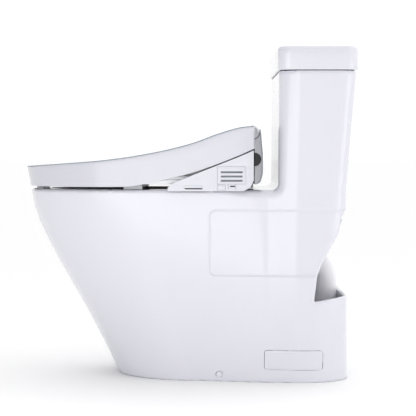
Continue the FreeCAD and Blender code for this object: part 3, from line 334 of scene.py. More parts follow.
def softened(node: bpy.types.Object, name: str, width: float, segments: int = 3,
             angle: float = 32.0) -> bpy.types.Object:
    """A copy of a CAD node whose hard edges are rounded as a moulding's are.

    Args:
        node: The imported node.
        name: The new piece's name.
        width: The rounding's width in metres.
        segments: How many faces cross the rounding.
        angle: The angle in degrees from which an edge is rounded.

    Returns:
        The new piece.
    """
    obj = bpy.data.objects.new(name, node.data.copy())
    obj.data.name = name
    obj.data.materials.clear()
    bpy.context.scene.collection.objects.link(obj)
    work = bmesh.new()
    work.from_mesh(obj.data)
    bmesh.ops.remove_doubles(work, verts=work.verts, dist=2e-6)
    bmesh.ops.dissolve_limit(work, angle_limit=math.radians(1.5), verts=work.verts, edges=work.edges)
    hard = [edge for edge in work.edges if len(edge.link_faces) == 2
            and edge.calc_face_angle(0.0) > math.radians(angle)]
    bmesh.ops.bevel(work, geom=hard, offset=width, offset_type="OFFSET", segments=segments, profile=0.5,
                    affect="EDGES", clamp_overlap=True)
    bmesh.ops.triangulate(work, faces=[face for face in work.faces if len(face.verts) > 4])
    work.to_mesh(obj.data)
    work.free()
    tidy_mesh(obj, crease=40.0, outward=False)
    return obj


def bridge(a: Sequence[int], b: Sequence[int], closed: bool = True) -> list[tuple[int, ...]]:
    """Quads between two rows of as many corners."""
    count = len(a)
    last = count if closed else count - 1
    return [(a[i], a[(i + 1) % count], b[(i + 1) % count], b[i]) for i in range(last)]


def loft(name: str, loops: Sequence[np.ndarray], cap_start: bool = True, cap_end: bool = True,
         crease: float = 40.0) -> bpy.types.Object:
    """A closed piece through loops of as many points each.

    Args:
        name: The piece's name.
        loops: The loops, in millimetres.
        cap_start: Whether the first loop is closed by a face.
        cap_end: Whether the last loop is closed by a face.
        crease: The angle in degrees from which an edge stays sharp.

    Returns:
        The piece.
    """
    count = len(loops[0])
    rows = [list(range(i * count, (i + 1) * count)) for i in range(len(loops))]
    faces = [quad for a, b in zip(rows, rows[1:]) for quad in bridge(a, b)]
    if cap_start:
        faces.append(tuple(reversed(rows[0])))
    if cap_end:
        faces.append(tuple(rows[-1]))
    obj = make_object(name, np.concatenate(loops), faces)
    tidy_mesh(obj, crease=crease)
    return obj


def ring_loft(name: str, loops: Sequence[np.ndarray], crease: float = 40.0) -> bpy.types.Object:
    """A closed ring through loops, the last joined to the first."""
    count = len(loops[0])
    rows = [list(range(i * count, (i + 1) * count)) for i in range(len(loops))]
    faces = [quad for a, b in zip(rows, rows[1:] + rows[:1]) for quad in bridge(a, b)]
    obj = make_object(name, np.concatenate(loops), faces)
    tidy_mesh(obj, crease=crease)
    return obj


def rounded_rectangle(half: float, front: float, rear: float, corner: float, level: float,
                      turns: int = 10) -> np.ndarray:
    """A level loop round a rectangle with rounded corners, in millimetres."""
    points = []
    centres = ((half - corner, rear - corner, 0.0), (corner - half, rear - corner, 90.0),
               (corner - half, front + corner, 180.0), (half - corner, front + corner, 270.0))
    for x, y, start in centres:
        for n in range(turns + 1):
            a = math.radians(start + 90.0 * n / turns)
            points.append((x + corner * math.cos(a), y + corner * math.sin(a), level))
    return np.array(points)


def nosed_outline(half: float, front: float, shoulder: float, rear: float, corner: float,
                  nose: int = 64, sides: int = 14) -> np.ndarray:
    """A loop with a half-ellipse nose at -Y, straight sides and rounded rear corners.

    Args:
        half: Half its width.
        front: The nose's y.
        shoulder: The y where the nose begins.
        rear: The y of its rear edge.
        corner: The rear corners' radius.
        nose: How many steps the nose has.
        sides: How many steps each side has.

    Returns:
        (x, y) points, starting at the right shoulder and going round by the rear.
    """
    points = [(half, shoulder + (rear - corner - shoulder) * n / sides) for n in range(sides)]
    points += [(half - corner + corner * math.cos(a), rear - corner + corner * math.sin(a))
               for a in np.linspace(0.0, math.pi / 2, 7)]
    points += [(x, rear) for x in np.linspace(half - corner, corner - half, 15)[1:-1]]
    points += [(corner - half - corner * math.sin(a), rear - corner + corner * math.cos(a))
               for a in np.linspace(0.0, math.pi / 2, 7)]
    points += [(-half, rear - corner + (shoulder - rear + corner) * n / sides) for n in range(1, sides + 1)]
    points += [(-half * math.cos(a), shoulder - (shoulder - front) * math.sin(a))
               for a in np.linspace(0.0, math.pi, nose + 1)[1:-1]]
    return np.array(points)


def soft_bar(name: str, outline: Sequence[Point2], x_low: float, x_high: float,
             soft: float) -> bpy.types.Object:
    """A solid across X from an outline of (y, z) points in millimetres, its long edges rounded."""
    count = len(outline)
    shape = np.array(outline)
    centre = shape.mean(axis=0)
    loops = []
    for n in range(5):
        turn = math.pi / 2 * n / 4
        inward = soft * (1.0 - math.sin(turn))
        reach = np.linalg.norm(shape - centre, axis=1)[:, None]
        ring = centre + (shape - centre) * np.maximum(reach - inward, 0.1) / reach
        loops.append(np.column_stack([np.full(count, x_low + soft * (1.0 - math.cos(turn))), ring]))
    loops += [loop * (-1, 1, 1) + (x_low + x_high, 0, 0) for loop in reversed(loops)]
    return loft(name, loops)


def tube(name: str, path: np.ndarray, radius: float, sides: int = 14) -> bpy.types.Object:
    """A closed round bar along a path of points, all in millimetres."""
    loops = []
    for index, point in enumerate(path):
        ahead = path[min(index + 1, len(path) - 1)] - path[max(index - 1, 0)]
        ahead = ahead / np.linalg.norm(ahead)
        across = np.cross(ahead, (0.0, 0.0, 1.0) if abs(ahead[2]) < 0.9 else (1.0, 0.0, 0.0))
        across /= np.linalg.norm(across)
        up = np.cross(across, ahead)
        loops.append(np.array([point + radius * (across * math.cos(a) + up * math.sin(a))
                               for a in np.linspace(0.0, 2 * math.pi, sides, endpoint=False)]))
    return loft(name, loops)


def joined(name: str, pieces: Sequence[bpy.types.Object]) -> bpy.types.Object:
    """One mesh object from several, which are taken away."""
    work = bmesh.new()
    for piece in pieces:
        work.from_mesh(piece.data)
    mesh = bpy.data.meshes.new(name)
    work.to_mesh(mesh)
    work.free()
    for piece in pieces:
        bpy.data.objects.remove(piece)
    obj = bpy.data.objects.new(name, mesh)
    bpy.context.scene.collection.objects.link(obj)
    return obj


# ------------------------------------------------------------------ finishes

class Nodes:
    """A shader's node tree, with short calls for adding nodes and joining them."""

    def __init__(self, tree: bpy.types.NodeTree) -> None:
        """Keep the tree that nodes are added to."""
        self.tree = tree

    def add(self, kind: str, links: dict[str | int, object] | None = None, **values: object) -> bpy.types.Node:
        """Add a node.

        Args:
            kind: The node's Blender type.
            links: What goes into its inputs: a socket, or a plain value.
            values: Its own settings.

        Returns:
            The node.
        """
        node = self.tree.nodes.new(kind)
        for key, value in values.items():
            setattr(node, key, value)
        for key, value in (links or {}).items():
            if isinstance(value, bpy.types.NodeSocket):
                self.tree.links.new(value, node.inputs[key])
            else:
                node.inputs[key].default_value = value
        return node

    def math(self, operation: str, a: object, b: object = 0.0) -> bpy.types.NodeSocket:
        """The result of one sum of two numbers or sockets."""
        return self.add("ShaderNodeMath", {0: a, 1: b}, operation=operation).outputs[0]


def new_group(name: str, inputs: Sequence[tuple[str, str, object]], outputs: Sequence[tuple[str, str]]
              ) -> tuple[bpy.types.NodeTree, Nodes, bpy.types.Node, bpy.types.Node]:
    """An empty shader group with named sockets.

    Args:
        name: The group's name.
        inputs: (name, socket type, default) for each input.
        outputs: (name, socket type) for each output.

    Returns:
        The group, its node helper, and its input and output nodes.
    """
    tree = bpy.data.node_groups.new(name, "ShaderNodeTree")
    for label, kind, default in inputs:
        socket = tree.interface.new_socket(label, in_out="INPUT", socket_type=kind)
        socket.default_value = default
    for label, kind in outputs:
        tree.interface.new_socket(label, in_out="OUTPUT", socket_type=kind)
    nodes = Nodes(tree)
    return tree, nodes, nodes.add("NodeGroupInput"), nodes.add("NodeGroupOutput")


FLOAT, COLOUR = "NodeSocketFloat", "NodeSocketColor"


def colour_drift_group() -> bpy.types.NodeTree:
    """A group that lets a colour wander a little from place to place, as a fired or moulded one does."""
    tree, nodes, start, end = new_group(
        "colour_drift", [("Base", COLOUR, (1, 1, 1, 1)), ("Tint", COLOUR, (1, 1, 1, 1)),
                         ("Amount", FLOAT, 0.5), ("Scale", FLOAT, 4.0)], [("Color", COLOUR)])
    where = nodes.add("ShaderNodeTexCoord").outputs["Object"]
    wander = nodes.add("ShaderNodeTexNoise", {"Vector": where, "Scale": start.outputs["Scale"], "Detail": 3.0,
                                              "Roughness": 0.45})
    share = nodes.math("MULTIPLY", wander.outputs["Fac"], start.outputs["Amount"])
    mix = nodes.add("ShaderNodeMix", {0: share, 6: start.outputs["Base"], 7: start.outputs["Tint"]},
                    data_type="RGBA")
    nodes.tree.links.new(mix.outputs[2], end.inputs["Color"])
    return tree


def surface_wave_group() -> bpy.types.NodeTree:
    """A group that gives the height of a surface's broad waves and fine texture."""
    tree, nodes, start, end = new_group(
        "surface_wave", [("Broad scale", FLOAT, 12.0), ("Broad", FLOAT, 1.0), ("Fine scale", FLOAT, 400.0),
                         ("Fine", FLOAT, 0.2)], [("Height", FLOAT)])
    where = nodes.add("ShaderNodeTexCoord").outputs["Object"]
    broad = nodes.add("ShaderNodeTexNoise", {"Vector": where, "Scale": start.outputs["Broad scale"],
                                             "Detail": 1.5, "Roughness": 0.4})
    fine = nodes.add("ShaderNodeTexNoise", {"Vector": where, "Scale": start.outputs["Fine scale"],
                                            "Detail": 2.0, "Roughness": 0.5})
    both = nodes.math("ADD", nodes.math("MULTIPLY", broad.outputs["Fac"], start.outputs["Broad"]),
                      nodes.math("MULTIPLY", fine.outputs["Fac"], start.outputs["Fine"]))
    nodes.tree.links.new(both, end.inputs["Height"])
    return tree


def wiped_gloss_group() -> bpy.types.NodeTree:
    """A group that gives a roughness with faint wiping marks and water spots in it."""
    tree, nodes, start, end = new_group(
        "wiped_gloss", [("Roughness", FLOAT, 0.2), ("Wipe", FLOAT, 0.05), ("Spots", FLOAT, 0.05),
                        ("Scale", FLOAT, 30.0)], [("Roughness", FLOAT)])
    where = nodes.add("ShaderNodeTexCoord").outputs["Object"]
    long = nodes.add("ShaderNodeMapping", {"Vector": where, "Scale": (0.35, 0.35, 1.4)}).outputs[0]
    wipe = nodes.add("ShaderNodeTexNoise", {"Vector": long, "Scale": start.outputs["Scale"], "Detail": 4.0,
                                            "Roughness": 0.6, "Distortion": 0.4})
    cells = nodes.add("ShaderNodeTexVoronoi", {"Vector": where, "Scale": nodes.math(
        "MULTIPLY", start.outputs["Scale"], 3.0)})
    spot = nodes.math("LESS_THAN", cells.outputs["Distance"], 0.09)
    total = nodes.math("ADD", start.outputs["Roughness"],
                       nodes.math("MULTIPLY", nodes.math("SUBTRACT", wipe.outputs["Fac"], 0.5),
                                  start.outputs["Wipe"]))
    total = nodes.math("ADD", total, nodes.math("MULTIPLY", spot, start.outputs["Spots"]))
    nodes.tree.links.new(total, end.inputs["Roughness"])
    return tree


@dataclass(frozen=True)
class Surface:
    """A moulded, fired or cast surface: its colour and how smooth and glossy it is.

    `tint` is the colour it drifts towards, `coat` the clear glaze or polish over it, and the wave
    numbers are the size in 1/m and the depth in metres of its unevenness.
    """

    name: str
    colour: Point3
    tint: Point3
    drift: float = 0.6
    drift_scale: float = 5.0
    roughness: float = 0.25
    wipe: float = 0.06
    spots: float = 0.0
    coat: float = 0.0
    coat_roughness: float = 0.04
    metallic: float = 0.0
    specular: float = 0.5
    subsurface: float = 0.0
    wave_scale: float = 14.0
    wave_depth: float = 0.0004
    grain_scale: float = 500.0
    grain: float = 0.05

    def build(self, groups: dict[str, bpy.types.NodeTree]) -> bpy.types.Material:
        """Make the material.

        Args:
            groups: The shared shader groups, by name.

        Returns:
            The material.
        """
        material = bpy.data.materials.new(self.name)
        material.use_nodes = True
        nodes = Nodes(material.node_tree)
        shader = material.node_tree.nodes["Principled BSDF"]

        def group(name: str, links: dict[str, object]) -> bpy.types.NodeSocket:
            node = nodes.add("ShaderNodeGroup", node_tree=groups[name])
            for key, value in links.items():
                node.inputs[key].default_value = value
            return node.outputs[0]

        colour = group("colour_drift", {"Base": (*self.colour, 1.0), "Tint": (*self.tint, 1.0),
                                        "Amount": self.drift, "Scale": self.drift_scale})
        gloss = group("wiped_gloss", {"Roughness": self.roughness, "Wipe": self.wipe, "Spots": self.spots})
        height = group("surface_wave", {"Broad scale": self.wave_scale, "Fine scale": self.grain_scale,
                                        "Fine": self.grain})
        bump = nodes.add("ShaderNodeBump", {"Height": height, "Strength": 1.0, "Distance": self.wave_depth})
        links = material.node_tree.links
        links.new(colour, shader.inputs["Base Color"])
        links.new(gloss, shader.inputs["Roughness"])
        links.new(bump.outputs[0], shader.inputs["Normal"])
        for key, value in (("Metallic", self.metallic), ("Specular IOR Level", self.specular),
                           ("Coat Weight", self.coat), ("Coat Roughness", self.coat_roughness),
                           ("Subsurface Weight", self.subsurface), ("Subsurface Scale", 0.004)):
            shader.inputs[key].default_value = value
        self.extra(nodes, shader)
        return material

    def extra(self, nodes: Nodes, shader: bpy.types.Node) -> None:
        """Leave room for what a kind of surface adds."""


@dataclass(frozen=True)
class BrushedMetal(Surface):
    """Metal with fine drawn lines along one direction."""

    stretch: Point3 = (1.0, 0.05, 1.0)

    def extra(self, nodes: Nodes, shader: bpy.types.Node) -> None:
        """Add the drawn lines to the roughness."""
        where = nodes.add("ShaderNodeTexCoord").outputs["Object"]
        along = nodes.add("ShaderNodeMapping", {"Vector": where, "Scale": self.stretch}).outputs[0]
        lines = nodes.add("ShaderNodeTexNoise", {"Vector": along, "Scale": 1800.0, "Detail": 2.0})
        rough = nodes.add("ShaderNodeMapRange", {
            "Value": lines.outputs["Fac"], "From Min": 0.3, "From Max": 0.7, "To Min": self.roughness * 0.7,
            "To Max": self.roughness * 1.5})
        nodes.tree.links.new(rough.outputs[0], shader.inputs["Roughness"])


@dataclass(frozen=True)
class BoardCoat(Surface):
    """The solder coat of a circuit board, with its tracks showing through."""

    def extra(self, nodes: Nodes, shader: bpy.types.Node) -> None:
        """Draw the tracks as a brick pattern's mortar lines."""
        where = nodes.add("ShaderNodeTexCoord").outputs["Object"]
        tracks = nodes.add("ShaderNodeTexBrick", {
            "Vector": where, "Color1": (*self.colour, 1.0), "Color2": (*self.tint, 1.0),
            "Mortar": (0.10, 0.42, 0.20, 1.0), "Scale": 60.0, "Mortar Size": 0.03})
        nodes.tree.links.new(tracks.outputs["Color"], shader.inputs["Base Color"])


@dataclass(frozen=True)
class PrintedFoil(Surface):
    """Heating foil with its printed winding path, drawn round a centre given in metres."""

    centre: Point3 = (0.0, 0.212, -0.44)

    def extra(self, nodes: Nodes, shader: bpy.types.Node) -> None:
        """Lay rings of darker conductor round the seat's hole."""
        where = nodes.add("ShaderNodeTexCoord").outputs["Object"]
        centred = nodes.add("ShaderNodeMapping", {"Vector": where, "Location": self.centre}).outputs[0]
        rings = nodes.add("ShaderNodeTexWave", {"Vector": centred, "Scale": 60.0, "Distortion": 0.4},
                          wave_type="RINGS", rings_direction="Z")
        shade = nodes.add("ShaderNodeMix", {0: rings.outputs["Fac"], 6: (*self.colour, 1.0),
                                            7: (*self.tint, 1.0)}, data_type="RGBA")
        nodes.tree.links.new(shade.outputs[2], shader.inputs["Base Color"])


FINISHES: dict[str, Surface] = {
    "china": Surface(
        "glazed_china", (0.735, 0.732, 0.795), (0.705, 0.703, 0.770), drift=0.7, drift_scale=3.5,
        roughness=0.16, wipe=0.05, spots=0.02, coat=0.5, coat_roughness=0.03, subsurface=0.03,
        wave_scale=11.0, wave_depth=0.0007, grain_scale=260.0, grain=0.035),
    # The trapway's china: its colour is lighter than the glazed china's, painted light that lifts the trapway
    # out of the shade deep in the skirt; it is rougher for its thinner glaze.
    "china_raw": Surface(
        "thin_glaze_painted_brighter", (0.90, 0.895, 0.93), (0.85, 0.845, 0.88), drift=0.8, drift_scale=9.0,
        roughness=0.42, wipe=0.12, wave_scale=30.0, wave_depth=0.0009, grain_scale=420.0, grain=0.3),
    "china_cap": Surface(
        "china_white_cap", (0.725, 0.722, 0.785), (0.70, 0.698, 0.765), drift=0.5, drift_scale=6.0,
        roughness=0.24, wipe=0.06, spots=0.0, coat=0.2, grain_scale=900.0, grain=0.08, wave_depth=0.0002),
    "lid_plastic": Surface(
        "gloss_lid_moulding", (0.630, 0.630, 0.690), (0.605, 0.605, 0.665), drift=0.5, drift_scale=3.0,
        roughness=0.15, wipe=0.05, spots=0.02, coat=0.35, coat_roughness=0.04, subsurface=0.03,
        wave_depth=0.00025, grain=0.03),
    "seat_plastic": Surface(
        "seat_moulding", (0.845, 0.845, 0.870), (0.82, 0.82, 0.84), drift=0.5, drift_scale=4.0,
        roughness=0.22, wipe=0.06, spots=0.01, coat=0.25, coat_roughness=0.05, subsurface=0.03,
        wave_depth=0.00025, grain=0.04),
    "unit_plastic": Surface(
        "cover_moulding", (0.690, 0.690, 0.750), (0.665, 0.665, 0.725), drift=0.6, drift_scale=6.0,
        roughness=0.28, wipe=0.07, spots=0.01, coat=0.2, coat_roughness=0.06, wave_depth=0.0002,
        grain_scale=1200.0, grain=0.12),
    "inner_plastic": Surface(
        "inner_moulding", (0.48, 0.49, 0.51), (0.42, 0.43, 0.45), drift=0.6, drift_scale=10.0,
        roughness=0.5, wipe=0.1, grain_scale=1500.0, grain=0.3, wave_depth=0.0003),
    "valve_plastic": Surface(
        "valve_moulding", (0.70, 0.71, 0.72), (0.64, 0.65, 0.66), drift=0.6, drift_scale=12.0,
        roughness=0.38, wipe=0.1, grain_scale=1200.0, grain=0.2, wave_depth=0.0003),
    "pipe_plastic": Surface(
        "pipe_moulding", (0.60, 0.60, 0.60), (0.54, 0.54, 0.53), drift=0.6, drift_scale=10.0,
        roughness=0.45, wipe=0.1, grain_scale=1100.0, grain=0.2, wave_depth=0.0003),
    "lens": Surface(
        "light_strip", (0.66, 0.68, 0.73), (0.60, 0.63, 0.69), drift=0.5, drift_scale=40.0, roughness=0.18,
        wipe=0.03, coat=0.4, subsurface=0.15, grain_scale=2000.0, grain=0.1, wave_depth=0.0001),
    "board": BoardCoat(
        "circuit_board_coat", (0.02, 0.16, 0.07), (0.03, 0.20, 0.09), drift=0.5, drift_scale=30.0,
        roughness=0.3, wipe=0.05),
    "foil": PrintedFoil(
        "heating_foil", (0.72, 0.72, 0.73), (0.36, 0.25, 0.16), drift=0.4, drift_scale=30.0, roughness=0.35,
        wipe=0.1, metallic=0.7, wave_depth=0.0003),
    "motor_metal": BrushedMetal(
        "motor_can", (0.42, 0.42, 0.44), (0.38, 0.38, 0.40), drift=0.5, drift_scale=30.0, roughness=0.36,
        metallic=1.0),
    "nozzle_steel": BrushedMetal(
        "nozzle_steel", (0.60, 0.61, 0.63), (0.55, 0.56, 0.58), drift=0.5, drift_scale=30.0, roughness=0.2,
        metallic=1.0),
    "screw_steel": BrushedMetal(
        "screw_steel", (0.52, 0.52, 0.54), (0.47, 0.47, 0.49), drift=0.5, drift_scale=30.0, roughness=0.28,
        metallic=1.0),
    "lever_chrome": Surface(
        "plated_lever", (0.66, 0.67, 0.69), (0.62, 0.63, 0.66), drift=0.4, drift_scale=20.0, roughness=0.07,
        wipe=0.03, spots=0.03, metallic=1.0, wave_depth=0.0001, grain=0.02),
    # Black for real rubber and the board's chips, and for the fills painted as shade in the side cover's slots.
    "black_rubber": Surface(
        "black_rubber", (0.008, 0.008, 0.009), (0.014, 0.014, 0.016), drift=0.7, drift_scale=40.0,
        roughness=0.6, wipe=0.1, grain_scale=1600.0, grain=0.5, wave_depth=0.0003),
    "red_rubber": Surface(
        "valve_rubber", (0.30, 0.03, 0.02), (0.36, 0.05, 0.03), drift=0.6, drift_scale=40.0, roughness=0.6,
        wipe=0.1, grain_scale=1600.0, grain=0.5, wave_depth=0.0003),
    "soft_rubber": Surface(
        "pale_rubber", (0.52, 0.53, 0.56), (0.46, 0.47, 0.50), drift=0.6, drift_scale=40.0, roughness=0.55,
        wipe=0.1, grain_scale=1500.0, grain=0.4, wave_depth=0.0003),
    # Dark teal painted lines: a painted reflection along the lid's top edge and painted shade in its side
    # creases.
    "painted_reflection_and_shade": Surface(
        "painted_reflection_and_shade", (0.22, 0.29, 0.32), (0.18, 0.24, 0.28), drift=0.5, drift_scale=30.0, roughness=0.4,
        wipe=0.05),
    # Grey painted shade for the unit's rear housing and the lid's hinge cheeks, whose rear-facing rounded
    # corners lie in shade.
    "rear_painted_shade": Surface(
        "rear_cover_painted_shade", (0.34, 0.345, 0.37), (0.30, 0.305, 0.33), drift=0.6, drift_scale=8.0,
        roughness=0.38, wipe=0.07, spots=0.0, coat=0.1, coat_roughness=0.1, wave_depth=0.0002,
        grain_scale=1200.0, grain=0.15),
    # Dark slate for the filter's louvre slats, and for the strips painted as shade along the unit's rear edges.
    "slate": Surface(
        "slate_and_rear_painted_shade", (0.20, 0.22, 0.26), (0.25, 0.27, 0.31), drift=0.6, drift_scale=20.0, roughness=0.35,
        wipe=0.06, grain_scale=1300.0, grain=0.2, wave_depth=0.0002),
}


class Dresser:
    """Gives pieces their bodies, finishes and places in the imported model."""

    def __init__(self, frame: dict) -> None:
        """Build every shared group and finish once.
        """
        self.nodes: dict[str, bpy.types.Object] = frame["nodes"]
        groups = {"colour_drift": colour_drift_group(), "surface_wave": surface_wave_group(),
                  "wiped_gloss": wiped_gloss_group()}
        self.materials = {key: finish.build(groups) for key, finish in FINISHES.items()}
        self.count = 0

    def paint(self, obj: bpy.types.Object, finish: str) -> None:
        """Give a piece one finish all over."""
        obj.data.materials.clear()
        obj.data.materials.append(self.materials[finish])

    def keep(self, name: str, finish: str) -> None:
        """Leave a CAD node as it is, in a better finish."""
        node = self.nodes[name]
        if node.data.materials:
            for index in range(len(node.data.materials)):
                node.data.materials[index] = self.materials[finish]
        else:
            node.data.materials.append(self.materials[finish])
        LOG.info("kept %s in %s", name, finish)

    def place(self, obj: bpy.types.Object, body: Body, finish: str, *replaced: str,
              slot: str | None = None) -> None:
        """Dress a finished piece and hang it on its body.

        Args:
            obj: The piece.
            body: The body that it moves with.
            finish: The finish that it wears, unless its mesh already has one.
            replaced: The CAD nodes that it stands for.
            slot: The record's material slot, where it isn't the finish's own name; not used.
        """
        if not obj.data.materials:
            self.paint(obj, finish)
        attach(obj, body.value)
        if replaced:
            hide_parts(*replaced)
        self.count += 1
        LOG.info("%s: %d faces on %s%s", obj.name, len(obj.data.polygons), body.value,
                 f", for {', '.join(replaced)}" if replaced else "")


# ------------------------------------------------------------------ what repeats

class ModifierTree:
    """A Geometry Nodes tree that makes one kind of repeated piece from named sizes."""

    def __init__(self, name: str, inputs: Sequence[tuple[str, str, object]]) -> None:
        """Start the tree.

        Args:
            name: Its name.
            inputs: (name, socket type, default) for each size.
        """
        self.tree = bpy.data.node_groups.new(name, "GeometryNodeTree")
        self.tree.interface.new_socket("Geometry", in_out="INPUT", socket_type="NodeSocketGeometry")
        for label, kind, default in inputs:
            socket = self.tree.interface.new_socket(label, in_out="INPUT", socket_type=kind)
            if default is not None:
                socket.default_value = default
        self.tree.interface.new_socket("Geometry", in_out="OUTPUT", socket_type="NodeSocketGeometry")
        self.nodes = Nodes(self.tree)
        self.start = self.nodes.add("NodeGroupInput")

    def close(self, instances: bpy.types.NodeSocket) -> None:
        """End the tree in real geometry that wears the given material.

        Args:
            instances: The instances to turn into geometry.
        """
        real = self.nodes.add("GeometryNodeRealizeInstances", {0: instances})
        dressed = self.nodes.add("GeometryNodeSetMaterial", {"Geometry": real.outputs[0],
                                                            "Material": self.start.outputs["Material"]})
        self.nodes.add("NodeGroupOutput", {0: dressed.outputs[0]})

    def bake(self, name: str, sizes: dict[str, object]) -> bpy.types.Object:
        """Run the tree on an empty mesh and keep its result as a plain mesh.

        Args:
            name: The piece's name.
            sizes: The value of each input, by name.

        Returns:
            The piece.
        """
        carrier = make_object(name, np.zeros((0, 3)), [])
        modifier = carrier.modifiers.new("repeat", "NODES")
        modifier.node_group = self.tree
        for item in self.tree.interface.items_tree:
            if item.in_out == "INPUT" and item.name in sizes:
                modifier[item.identifier] = sizes[item.name]
        view = bpy.context.evaluated_depsgraph_get()
        mesh = bpy.data.meshes.new_from_object(carrier.evaluated_get(view), depsgraph=view)
        carrier.modifiers.remove(modifier)
        old, carrier.data = carrier.data, mesh
        bpy.data.meshes.remove(old)
        mesh.name = name
        return carrier


def slat_tree() -> ModifierTree:
    """A tree of tilted slats in a column."""
    made = ModifierTree("slats_in_a_column", [
        ("Material", "NodeSocketMaterial", None), ("Count", "NodeSocketInt", 3),
        ("Size", "NodeSocketVector", (0.001, 0.046, 0.005)), ("Start", "NodeSocketVector", (0.0, 0.0, 0.0)),
        ("Pitch", "NodeSocketVector", (0.0, 0.0, 0.009)), ("Tilt", "NodeSocketVector", (0.0, 0.6, 0.0))])
    n, size = made.nodes, made.start.outputs
    row = n.add("GeometryNodeMeshLine", {"Count": size["Count"], "Start Location": size["Start"],
                                         "Offset": size["Pitch"]}, mode="OFFSET")
    slat = n.add("GeometryNodeMeshCube", {"Size": size["Size"], "Vertices X": 2, "Vertices Y": 3,
                                          "Vertices Z": 2})
    laid = n.add("GeometryNodeInstanceOnPoints", {"Points": row.outputs[0], "Instance": slat.outputs[0],
                                                  "Rotation": size["Tilt"]})
    made.close(laid.outputs[0])
    return made


def ring_tree() -> ModifierTree:
    """A tree of rings along a straight axis, such as a thread's crests or a bellows' ribs."""
    made = ModifierTree("rings_along_an_axis", [
        ("Material", "NodeSocketMaterial", None), ("Count", "NodeSocketInt", 8),
        ("Radius", "NodeSocketFloat", 0.01), ("Bead", "NodeSocketFloat", 0.0008),
        ("Start", "NodeSocketVector", (0.0, 0.0, 0.0)), ("Pitch", "NodeSocketVector", (0.0, 0.0, 0.002)),
        ("Turn", "NodeSocketVector", (0.0, 0.0, 0.0))])
    n, size = made.nodes, made.start.outputs
    row = n.add("GeometryNodeMeshLine", {"Count": size["Count"], "Start Location": size["Start"],
                                         "Offset": size["Pitch"]}, mode="OFFSET")
    crest = n.add("GeometryNodeCurvePrimitiveCircle", {"Resolution": 28, "Radius": size["Radius"]})
    bead = n.add("GeometryNodeCurvePrimitiveCircle", {"Resolution": 6, "Radius": size["Bead"]})
    swept = n.add("GeometryNodeCurveToMesh", {"Curve": crest.outputs[0], "Profile Curve": bead.outputs[0]})
    laid = n.add("GeometryNodeInstanceOnPoints", {"Points": row.outputs[0], "Instance": swept.outputs[0],
                                                  "Rotation": size["Turn"]})
    made.close(laid.outputs[0])
    return made


def stud_tree() -> ModifierTree:
    """A tree of small studs on a grid, left out at random, such as chips on a board."""
    made = ModifierTree("studs_on_a_grid", [
        ("Material", "NodeSocketMaterial", None), ("Columns", "NodeSocketInt", 9), ("Rows", "NodeSocketInt", 4),
        ("Width", "NodeSocketFloat", 0.07), ("Depth", "NodeSocketFloat", 0.024),
        ("Centre", "NodeSocketVector", (0.0, 0.0, 0.0)), ("Stud", "NodeSocketVector", (0.005, 0.003, 0.0016)),
        ("Share", "NodeSocketFloat", 0.6), ("Seed", "NodeSocketInt", 7)])
    n, size = made.nodes, made.start.outputs
    grid = n.add("GeometryNodeMeshGrid", {"Size X": size["Width"], "Size Y": size["Depth"],
                                          "Vertices X": size["Columns"], "Vertices Y": size["Rows"]})
    moved = n.add("GeometryNodeSetPosition", {"Geometry": grid.outputs[0], "Offset": size["Centre"]})
    chance = n.add("FunctionNodeRandomValue", {"Probability": size["Share"], "Seed": size["Seed"]},
                   data_type="BOOLEAN")
    spread = n.add("FunctionNodeRandomValue", {0: (0.6, 0.6, 0.7), 1: (1.3, 1.4, 1.5), "Seed": size["Seed"]},
                   data_type="FLOAT_VECTOR")
    chip = n.add("GeometryNodeMeshCube", {"Size": size["Stud"]})
    laid = n.add("GeometryNodeInstanceOnPoints", {"Points": moved.outputs[0], "Selection": chance.outputs[3],
                                                  "Instance": chip.outputs[0], "Scale": spread.outputs[0]})
    made.close(laid.outputs[0])
    return made


# ------------------------------------------------------------------ the china

# The casting's plan in millimetres: each size at the floor, what it gains up to the rim, and what it
# gains from there up to the tank's top.
PLAN = {
    "front": (226, 194, 0), "shoulder": (58, 132, 0), "half": (147, 31, 0), "waist": (171, 10, 0),
    "bay": (174, 16, 18), "flank": (178, 12, 18), "flank_at": (180, 60, 19), "corner": (105, 61, 18),
    "rear": (280, -10, 19),
}


